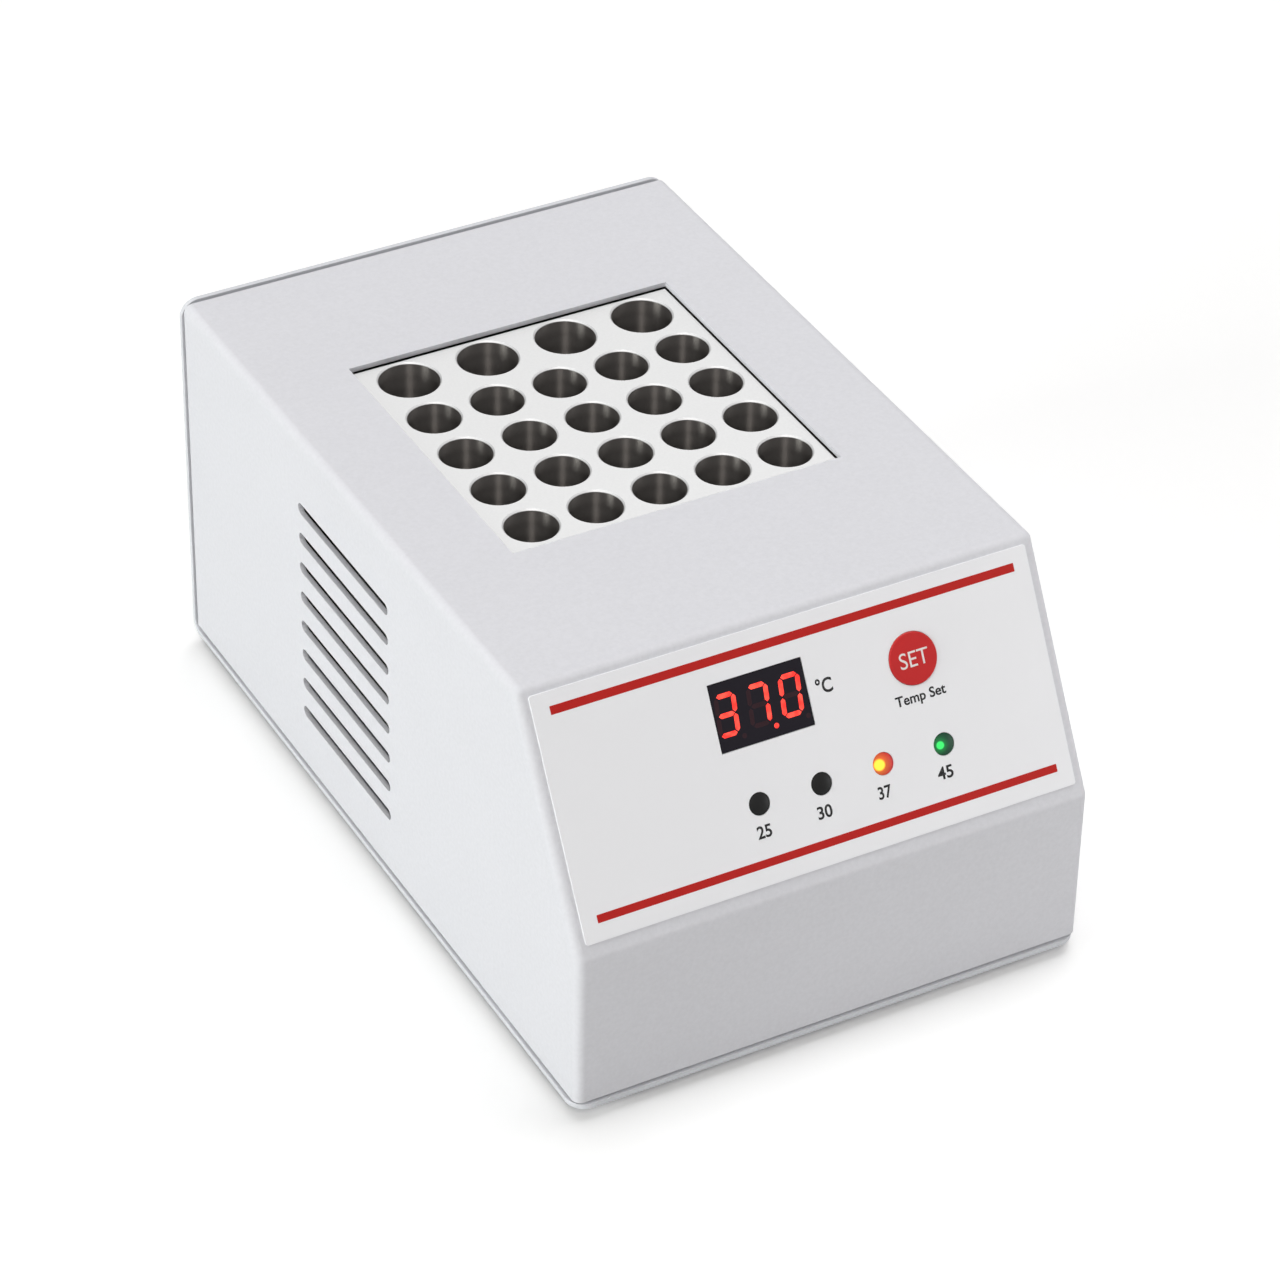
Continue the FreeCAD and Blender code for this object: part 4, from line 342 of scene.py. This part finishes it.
def fibre(name, colour, strand_mm):
    """Pressed mineral fibre or foam: matt, with mottled strands or cells."""
    material, tree = start_material(name)
    place = add_node(tree, "ShaderNodeTexCoord").outputs["Object"]
    strand = add_node(tree, "ShaderNodeTexNoise", {
        "Vector": place, "Scale": grain(strand_mm), "Detail": 4.0, "Distortion": 1.2})
    tone = add_node(tree, "ShaderNodeMapRange", {
        "Value": strand.outputs["Fac"], "To Min": 0.8, "To Max": 1.12})
    tint = add_node(tree, "ShaderNodeVectorMath", {0: colour, "Scale": tone.outputs[0]},
                    operation="SCALE")
    bump = add_node(tree, "ShaderNodeBump", {
        "Height": strand.outputs["Fac"], "Distance": 0.2 * MM, "Strength": 0.7})
    shader = add_node(tree, "ShaderNodeBsdfPrincipled", {
        "Base Color": tint.outputs[0], "Roughness": 0.9, "Normal": bump.outputs[0]})
    return close_material(material, tree, shader)


def circuit_laminate(name, mask_colour, track_colour):
    """Glass-epoxy laminate under green solder mask: tracks show as paler lines 2.5 mm apart."""
    material, tree = start_material(name)
    place = add_node(tree, "ShaderNodeTexCoord").outputs["Object"]
    tracks = add_node(tree, "ShaderNodeTexBrick", {
        "Vector": place, "Scale": grain(10.0), "Mortar Size": 0.03, "Brick Width": 1.4,
        "Row Height": 0.25})
    colour = add_node(tree, "ShaderNodeMix", {
        "Factor": tracks.outputs["Fac"], COLOUR_A: opaque(mask_colour),
        COLOUR_B: opaque(track_colour)}, data_type="RGBA")
    shader = add_node(tree, "ShaderNodeBsdfPrincipled", {
        "Base Color": colour.outputs[MIXED_COLOUR], "Roughness": 0.3, "IOR": 1.55})
    return close_material(material, tree, shader)


def clear_glass(name):
    """Borosilicate tube glass, drawn: clear, smooth, with faint draw lines."""
    material, tree = start_material(name)
    place = add_node(tree, "ShaderNodeTexCoord").outputs["Object"]
    lines = add_node(tree, "ShaderNodeTexNoise", {
        "Vector": place, "Scale": grain(0.8), "Detail": 1.0})
    gloss = add_node(tree, "ShaderNodeMapRange", {
        "Value": lines.outputs["Fac"], "To Min": 0.02, "To Max": 0.08})
    shader = add_node(tree, "ShaderNodeBsdfPrincipled", {
        "Base Color": opaque(linear("#EEF3F2")), "Roughness": gloss.outputs[0], "IOR": 1.5,
        "Transmission Weight": 1.0})
    return close_material(material, tree, shader)


def finish(material, *nodes):
    """Gives CAD nodes a material in their own slots."""
    for name in nodes:
        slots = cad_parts[name].data.materials
        slots.clear()
        slots.append(material)


# Modelling helpers


def panel_place(across_mm, up_mm, out):
    """Matrix from flat print (x right, y up, z outward) to a place on the sloped front."""
    slope = Matrix.Rotation(SLOPE_ANGLE, 4, "X")
    print_place = Matrix.Translation((across_mm * MM, up_mm * MM, out))
    return Matrix.Translation((0, FOLD_Y, FOLD_Z)) @ slope @ print_place


def deselect():
    """Leaves edit mode and clears the selection."""
    if bpy.context.object and bpy.context.object.mode != "OBJECT":
        bpy.ops.object.mode_set(mode="OBJECT")
    bpy.ops.object.select_all(action="DESELECT")


def settle(piece, place, material, body):
    """Writes a piece's place into its mesh, then gives it its material and body."""
    piece.data.transform(place)
    piece.data.materials.clear()
    piece.data.materials.append(material)
    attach(piece, body)


def ink_bar(name, width_mm, height_mm, thickness):
    """A printed bar, flat on z = 0: a plane with eased corners, given its ink's thickness."""
    deselect()
    bpy.ops.mesh.primitive_plane_add(size=1.0)
    bar = bpy.context.object
    bar.name = name
    bar.scale = (width_mm * MM, height_mm * MM, 1.0)
    bpy.ops.object.transform_apply(location=False, rotation=False, scale=True)
    bpy.ops.object.mode_set(mode="EDIT")
    bpy.ops.mesh.select_all(action="SELECT")
    bpy.ops.mesh.bevel(offset=INK_CORNER, segments=3, affect="VERTICES")
    bpy.ops.mesh.select_all(action="SELECT")
    bpy.ops.mesh.extrude_region_move(TRANSFORM_OT_translate={"value": (0, 0, thickness)})
    bpy.ops.mesh.select_all(action="SELECT")
    bpy.ops.mesh.normals_make_consistent(inside=False)
    bpy.ops.object.mode_set(mode="OBJECT")
    return bar


def lettering(name, words, width_mm, height_mm, thickness, weight=0.0):
    """Printed words fitted to a width and height, centred on the origin with their ink's
    thickness. The weight widens the strokes."""
    deselect()
    bpy.ops.object.text_add()
    text = bpy.context.object
    text.name = name
    text.data.body = words
    text.data.offset = weight
    text.data.resolution_u = 6
    bpy.ops.object.convert(target="MESH")
    text = bpy.context.object
    text.name = name
    bpy.ops.object.mode_set(mode="EDIT")
    bpy.ops.mesh.select_all(action="SELECT")
    bpy.ops.mesh.remove_doubles(threshold=0.0001)
    bpy.ops.mesh.extrude_region_move(TRANSFORM_OT_translate={"value": (0, 0, 1)})
    bpy.ops.mesh.select_all(action="SELECT")
    bpy.ops.mesh.normals_make_consistent(inside=False)
    bpy.ops.object.mode_set(mode="OBJECT")
    corners = [vertex.co for vertex in text.data.vertices]
    low = Vector([min(corner[axis] for corner in corners) for axis in range(3)])
    high = Vector([max(corner[axis] for corner in corners) for axis in range(3)])
    size = high - low
    fit = Matrix.Diagonal((width_mm * MM / size.x, height_mm * MM / size.y,
                           thickness / size.z, 1.0))
    centre = Vector(((low.x + high.x) / 2, (low.y + high.y) / 2, low.z))
    text.data.transform(fit @ Matrix.Translation(-centre))
    return text


# Settings


class CaseSettings(bpy.types.PropertyGroup):
    """Paint and print of the case."""

    cover_colour: bpy.props.FloatVectorProperty(
        name="Cover", description="Powder coat of the cover", subtype="COLOR", size=3, min=0,
        max=1, default=linear("#E1E1E6"))
    tray_colour: bpy.props.FloatVectorProperty(
        name="Tray", description="Powder coat of the base and rear plates", subtype="COLOR",
        size=3, min=0, max=1, default=linear("#DEDFE4"))
    texture_size: bpy.props.FloatProperty(
        name="Paint texture", description="Width of one bump of the orange peel, in millimetres",
        default=1.0, min=0.2, max=5.0)
    film_colour: bpy.props.FloatVectorProperty(
        name="Film", description="Printed film on the sloped front", subtype="COLOR", size=3,
        min=0, max=1, default=linear("#FBFBFE"))
    stripe_colour: bpy.props.FloatVectorProperty(
        name="Stripes", description="Ink of the two stripes", subtype="COLOR", size=3, min=0,
        max=1, default=linear("#BE1F1A"))
    ink_thickness: bpy.props.FloatProperty(
        name="Ink", description="How far the print stands out of the film",
        subtype="DISTANCE", unit="LENGTH", default=0.02 * MM, min=0.0)


class PanelSettings(bpy.types.PropertyGroup):
    """Display, key and lamps."""

    display_strength: bpy.props.FloatProperty(
        name="Display light", description="Strength of the lit segments", default=1.0, min=0.0,
        max=10.0)
    lamp_strength: bpy.props.FloatProperty(
        name="Lamp light", description="Strength of a lit lamp's chip", default=1.0, min=0.0,
        max=10.0)
    key_colour: bpy.props.FloatVectorProperty(
        name="Key", description="Moulded colour of the key", subtype="COLOR", size=3, min=0,
        max=1, default=linear("#C6191A"))


class StudioSettings(bpy.types.PropertyGroup):
    """Fill light and lens."""

    fill: bpy.props.FloatProperty(
        name="Fill", description="Even light from all round", default=0.0, min=0.0, max=5.0)
    focal_length: bpy.props.FloatProperty(
        name="Focal length", description="Lens of the camera in millimetres", default=137.8,
        min=10.0, max=500.0)


# Operators


class HEATER_OT_case(bpy.types.Operator):
    """Paint the cover and tray, and finish their feet, brackets and fasteners."""

    bl_idname = "heater.case"
    bl_label = "Case"

    def execute(self, context):
        case = context.scene.heater_case
        finish(powder_coat("powder_coated_cover", case.cover_colour, case.texture_size),
               "cover_shell")
        finish(powder_coat("powder_coated_tray", case.tray_colour, case.texture_size),
               "base_tray")
        finish(moulded_plastic("nitrile_rubber_feet", linear("#2B2B2C"), 0.75, 0.6, 0.03),
               "rubber_feet")
        finish(plain_metal("bright_zinc_plate", linear("#C9CBCE"), 0.28),
               "foot_screws", "cover_screws", "post_screws", "power_screws", "m3_nuts",
               "cover_brackets", "block_posts", "panel_studs")
        return {"FINISHED"}


class HEATER_OT_block(bpy.types.Operator):
    """Finish the tube block, its heater stack and its insulation."""

    bl_idname = "heater.block"
    bl_label = "Block"

    def execute(self, context):
        # The second, darker colour is painted shade for the drilled wells
        finish(blasted_aluminium("anodised_aluminium_block", linear("#C0C0C0"),
                                 linear("#6C6865"), BLOCK_TOP_Z), "heating_block")
        finish(plain_metal("milled_aluminium_plate", linear("#C8C8CA"), 0.35, (0.4, 9.0, 0.4)),
               "clamp_plate")
        finish(moulded_plastic("silicone_heater_mat", linear("#B4552D"), 0.6, 0.8, 0.05),
               "heater_mat")
        finish(fibre("mineral_fibre_board", linear("#D6D0C2"), 1.5), "floor_insulation")
        # The jacket's near-black colour is painted shade seen through the window gap and vents
        finish(fibre("foam_jacket_painted_shade", linear("#2A2A2C"), 0.9), "insulation_jacket")
        finish(plain_metal("drawn_stainless_probe", linear("#B9BABC"), 0.22, (0.2, 8.0, 0.2)),
               "temperature_sensor")
        finish(moulded_plastic("glazed_ceramic_cutout", linear("#CFC4AE"), 0.5),
               "thermal_cutout")
        finish(moulded_plastic("silicone_sleeve_leads", linear("#DCDAD2"), 0.6),
               "heater_leads", "sensor_lead")
        return {"FINISHED"}


class HEATER_OT_front_panel(bpy.types.Operator):
    """Finish the film, the display, the key and the lamps, and what sits behind them."""

    bl_idname = "heater.front_panel"
    bl_label = "Front panel"

    def execute(self, context):
        panel = context.scene.heater_panel
        finish(printed_film("matt_polyester_film", context.scene.heater_case.film_colour),
               "front_label")
        finish(moulded_plastic("abs_key_cap", panel.key_colour, 0.38), "set_key")
        finish(moulded_plastic("black_epoxy_display", linear("#141019"), 0.5, ior=1.25),
               "display_module")
        finish(glowing_segment("lit_segment_resin", linear("#FF5A48"), linear("#F02A22"),
                               panel.display_strength), "segments_lit")
        finish(moulded_plastic("unlit_segment_resin", linear("#2E1A20"), 0.5, ior=1.25),
               "segments_dark")
        self.finish_lamps(panel.lamp_strength)
        finish(moulded_plastic("black_chip_epoxy", linear("#242424"), 0.55),
               "control_chip", "control_header", "key_switch")
        finish(moulded_plastic("white_nylon", linear("#DAD7CE"), 0.5),
               "switch_plunger", "board_spacers", "power_spacers", "board_sockets")
        finish(moulded_plastic("grey_ribbon_pvc", linear("#9A9A9E"), 0.5), "ribbon_cable")
        return {"FINISHED"}

    def finish_lamps(self, strength):
        """Two lamps are off, one is lit red with a yellow chip, and one is lit green."""
        smoked = linear("#0E0E0E")
        finish(lamp_lens("smoked_epoxy_lens", smoked, smoked, Vector((0, 0, 0)), 1.0, 0.0),
               "lamp_25", "lamp_30")
        lit = (("lamp_37", "red_epoxy_lens", "#E0343C", "#FFE23A", 1.35, 1.0),
               ("lamp_45", "green_epoxy_lens", "#1C4A34", "#3CF06A", 0.95, 0.9))
        for node, name, body, chip, radius_mm, share in lit:
            low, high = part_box(node)
            middle = (low.x + high.x) / 2
            place = panel_place(middle / MM + CHIP_OFFSET, LAMP_ROW, FILM_FACE).to_translation()
            finish(lamp_lens(name, linear(body), linear(chip), place, radius_mm,
                             strength * share), node)


class HEATER_OT_mains(bpy.types.Operator):
    """Finish the mains inlet, its fuses and the switch, and the earth parts."""

    bl_idname = "heater.mains"
    bl_label = "Mains parts"

    def execute(self, context):
        finish(moulded_plastic("black_nylon_inlet", linear("#27272A"), 0.5, 0.35, 0.02),
               "inlet_housing", "fuse_drawer", "switch_housing")
        finish(moulded_plastic("polished_black_rocker", linear("#202023"), 0.22, 0.8, 0.002),
               "power_rocker")
        finish(plain_metal("nickel_plated_brass", linear("#CFCBBF"), 0.2, (0.3, 6.0, 0.3)),
               "inlet_blades", "fuse_contacts", "switch_tabs", "earth_ring")
        finish(plain_metal("turned_brass", linear("#C9A45C"), 0.25), "earth_stud", "earth_nut")
        finish(plain_metal("black_zinc_screws", linear("#6B6C70"), 0.3), "inlet_screws")
        finish(clear_glass("drawn_fuse_glass"), "fuses")
        finish(moulded_plastic("black_pvc_sheath", linear("#262628"), 0.45),
               "inlet_leads", "switch_leads")
        finish(moulded_plastic("earth_pvc_sheath", linear("#A7B82E"), 0.45), "earth_lead")
        return {"FINISHED"}


class HEATER_OT_power_supply(bpy.types.Operator):
    """Finish the two circuit boards and the power board's components."""

    bl_idname = "heater.power_supply"
    bl_label = "Power supply"

    def execute(self, context):
        finish(circuit_laminate("glass_epoxy_laminate", linear("#1E5C34"), linear("#3C8A52")),
               "power_board", "control_board")
        finish(plain_metal("varnished_iron_laminations", linear("#6A6A6C"), 0.45,
                           (6.0, 0.5, 6.0), 0.25), "transformer_core")
        finish(moulded_plastic("polyester_coil_tape", linear("#D9B63A"), 0.35),
               "transformer_coil")
        finish(moulded_plastic("capacitor_sleeve", linear("#20263C"), 0.25),
               "smoothing_capacitors")
        finish(moulded_plastic("relay_case", linear("#3A3A3E"), 0.4), "heater_relay")
        finish(moulded_plastic("terminal_nylon", linear("#2E8A4A"), 0.45), "terminal_block")
        return {"FINISHED"}


class HEATER_OT_print(bpy.types.Operator):
    """Print the stripes, figures and captions on the film, the key and the rocker."""

    bl_idname = "heater.print"
    bl_label = "Print"

    def execute(self, context):
        case = context.scene.heater_case
        ink = case.ink_thickness
        red = screen_ink("red_screen_ink", case.stripe_colour)
        black = screen_ink("black_screen_ink", linear("#0E0E10"))
        white = screen_ink("white_pad_print", linear("#F2ECEA"))
        stripes = (("stripe_upper", -56.2, 56.5, 52.3, 54.2),
                   ("stripe_lower", -56.5, 56.5, 7.16, 8.93))
        for name, left, right, low, high in stripes:
            bar = ink_bar(name, right - left, high - low, ink)
            place = panel_place((left + right) / 2, (low + high) / 2, FILM_FACE)
            settle(bar, place, red, "housing")
        captions = (("figure_25", "25", -14.82, FIGURE_ROW, 3.44, FIGURE_HEIGHT),
                    ("figure_30", "30", -0.04, FIGURE_ROW, 3.57, FIGURE_HEIGHT),
                    ("figure_37", "37", 14.77, FIGURE_ROW, 3.23, FIGURE_HEIGHT),
                    ("figure_45", "45", 29.86, FIGURE_ROW, 3.82, FIGURE_HEIGHT),
                    ("degree_sign", "°C", 6.17, 41.0, 3.95, 3.44),
                    ("key_caption", "Temp Set", 28.0, 32.2, 12.4, 3.0))
        for name, words, across, up, width, height in captions:
            text = lettering(name, words, width, height, ink, CAPTION_WEIGHT)
            settle(text, panel_place(across, up, FILM_FACE), black, "housing")
        text = lettering("key_word", "SET", 7.1, 3.5, ink)
        settle(text, panel_place(28.2, 40.75, KEY_FACE), white, "key")
        self.mark_rocker(white, ink)
        return {"FINISHED"}

    def mark_rocker(self, white, ink):
        """A line on the rocker's upper half and a ring on its lower half."""
        upright = Matrix.Rotation(math.radians(90), 4, "X")
        facing = Matrix.Rotation(math.radians(180), 4, "Z") @ upright
        rest = Matrix.Translation(ROCKER_PIVOT) @ Matrix.Rotation(ROCKER_ANGLE, 4, "X")
        for name, words, side, width in (("rocker_on", "I", 1, 0.6),
                                         ("rocker_off", "O", -1, 2.6)):
            tilt = Matrix.Rotation(-side * ROCKER_ANGLE, 4, "X")
            half = Matrix.Translation((0, ROCKER_FACE, 0)) @ tilt
            offset = Matrix.Translation((0, 0, side * ROCKER_MARK_OFFSET))
            mark = lettering(name, words, width, ROCKER_MARK_HEIGHT, ink)
            settle(mark, rest @ half @ offset @ facing, white, "rocker")


class HEATER_OT_studio(bpy.types.Operator):
    """Set up the floor, the lights, the surrounding white and the camera."""

    bl_idname = "heater.studio"
    bl_label = "Studio"

    def execute(self, context):
        scene = context.scene
        scene.view_settings.view_transform = "Standard"
        self.lay_floor()
        self.light_world(scene)
        self.place_softboxes(scene)
        self.place_camera(scene)
        return {"FINISHED"}

    def white_rays(self, tree):
        """1 for what the camera, a reflection or a transparent part sees, and 0 for rays that
        only carry light."""
        ray = add_node(tree, "ShaderNodeLightPath")
        seen = add_node(tree, "ShaderNodeMath", {
            0: ray.outputs["Is Camera Ray"], 1: ray.outputs["Is Glossy Ray"]},
            operation="MAXIMUM")
        return add_node(tree, "ShaderNodeMath", {
            0: seen.outputs[0], 1: ray.outputs["Is Transmission Ray"]},
            operation="MAXIMUM").outputs[0]

    def lay_floor(self):
        """A white sheet: it shows white to the camera and in reflections, keeps the soft
        shadow, and is clear from below."""
        deselect()
        bpy.ops.mesh.primitive_plane_add(size=FLOOR_SIZE, location=(0, 0, FLOOR_Z))
        floor = bpy.context.object
        floor.name = "floor"
        material, tree = start_material("studio_paper")
        seen = self.white_rays(tree)
        tone = add_node(tree, "ShaderNodeMapRange", {
            "Value": seen, "To Min": PAPER_BOUNCE, "To Max": PAPER_SEEN})
        paper = add_node(tree, "ShaderNodeBsdfDiffuse", {"Color": tone.outputs[0]})
        strength = add_node(tree, "ShaderNodeMath", {0: seen, 1: PAPER_GLOW},
                            operation="MULTIPLY")
        glow = add_node(tree, "ShaderNodeEmission", {
            "Color": opaque(WHITE), "Strength": strength.outputs[0]})
        both = add_node(tree, "ShaderNodeAddShader", {0: paper.outputs[0], 1: glow.outputs[0]})
        side = add_node(tree, "ShaderNodeNewGeometry").outputs["Backfacing"]
        below = add_node(tree, "ShaderNodeBsdfTransparent")
        sheet = add_node(tree, "ShaderNodeMixShader", {
            0: side, 1: both.outputs[0], 2: below.outputs[0]})
        floor.data.materials.append(close_material(material, tree, sheet))

    def light_world(self, scene):
        """White for the camera and for reflections, and the fill light for everything else."""
        world = bpy.data.worlds.new("studio_white")
        world.use_nodes = True
        tree = world.node_tree
        tree.nodes.clear()
        strength = add_node(tree, "ShaderNodeMapRange", {
            "Value": self.white_rays(tree), "To Min": scene.heater_studio.fill, "To Max": 1.0})
        light = add_node(tree, "ShaderNodeBackground", {
            "Color": opaque(WHITE), "Strength": strength.outputs[0]})
        add_node(tree, "ShaderNodeOutputWorld", {"Surface": light.outputs[0]})
        scene.world = world

    def place_softboxes(self, scene):
        """A low box on the left, two wide ones above, one behind the camera and a small one low
        on the right."""
        boxes = (("left_softbox", (-3.4, -0.3, 0.7), 1.4, 67.5, (0.965, 1.0, 0.97)),
                 ("top_softbox", (-0.4, 0.6, 4.0), 3.2, 66.0, WHITE),
                 ("right_softbox", (1.8, 0.6, 3.6), 3.2, 64.0, WHITE),
                 ("key_softbox", (-1.24, -2.28, 3.0), 1.0, 35.0, (1.0, 0.97, 0.94)),
                 ("low_softbox", (0.40, -0.30, 0.10), 0.2, 0.34, WHITE))
        for name, place, size, watts, tint in boxes:
            lamp = bpy.data.lights.new(name, "AREA")
            lamp.shape = "SQUARE"
            lamp.size = size
            lamp.energy = watts
            lamp.color = tint
            holder = bpy.data.objects.new(name, lamp)
            scene.collection.objects.link(holder)
            holder.location = place
            aim = LAMP_AIM - Vector(place)
            holder.rotation_euler = aim.to_track_quat("-Z", "Y").to_euler()

    def place_camera(self, scene):
        """The photograph's own viewpoint, a little rolled."""
        data = bpy.data.cameras.new("camera")
        data.sensor_fit = "HORIZONTAL"
        data.sensor_width = SENSOR_WIDTH
        data.lens = scene.heater_studio.focal_length
        data.clip_start = 0.05
        data.clip_end = 50.0
        camera = bpy.data.objects.new("camera", data)
        scene.collection.objects.link(camera)
        view = CAMERA_VIEW.normalized()
        right = (CAMERA_RIGHT - view * CAMERA_RIGHT.dot(view)).normalized()
        up = right.cross(view)
        turn = Matrix((right, up, -view)).transposed()
        camera.matrix_world = Matrix.Translation(CAMERA_PLACE) @ turn.to_4x4()
        scene.camera = camera


class HEATER_PT_sidebar(bpy.types.Panel):
    """Lists the settings and the steps."""

    bl_idname = "HEATER_PT_sidebar"
    bl_label = "Block Heater"
    bl_space_type = "VIEW_3D"
    bl_region_type = "UI"
    bl_category = "Block Heater"

    def draw(self, context):
        scene = context.scene
        for settings in (scene.heater_case, scene.heater_panel, scene.heater_studio):
            box = self.layout.box()
            for name in settings.__annotations__:
                box.prop(settings, name)
        for operator in OPERATORS:
            self.layout.operator(operator.bl_idname)


SETTINGS = (("heater_case", CaseSettings), ("heater_panel", PanelSettings),
            ("heater_studio", StudioSettings))
OPERATORS = (HEATER_OT_case, HEATER_OT_block, HEATER_OT_front_panel, HEATER_OT_mains,
             HEATER_OT_power_supply, HEATER_OT_print, HEATER_OT_studio)


def register():
    """Registers the settings, the operators and the panel."""
    for name, group in SETTINGS:
        bpy.utils.register_class(group)
        setattr(bpy.types.Scene, name, bpy.props.PointerProperty(type=group))
    for operator in OPERATORS:
        bpy.utils.register_class(operator)
    bpy.utils.register_class(HEATER_PT_sidebar)


def unregister():
    """Takes them away again."""
    bpy.utils.unregister_class(HEATER_PT_sidebar)
    for operator in reversed(OPERATORS):
        bpy.utils.unregister_class(operator)
    for name, group in reversed(SETTINGS):
        delattr(bpy.types.Scene, name)
        bpy.utils.unregister_class(group)


def main():
    """Runs every step in order."""
    register()
    bpy.ops.heater.case()
    bpy.ops.heater.block()
    bpy.ops.heater.front_panel()
    bpy.ops.heater.mains()
    bpy.ops.heater.power_supply()
    bpy.ops.heater.print()
    bpy.ops.heater.studio()


if __name__ == "__main__":
    main()
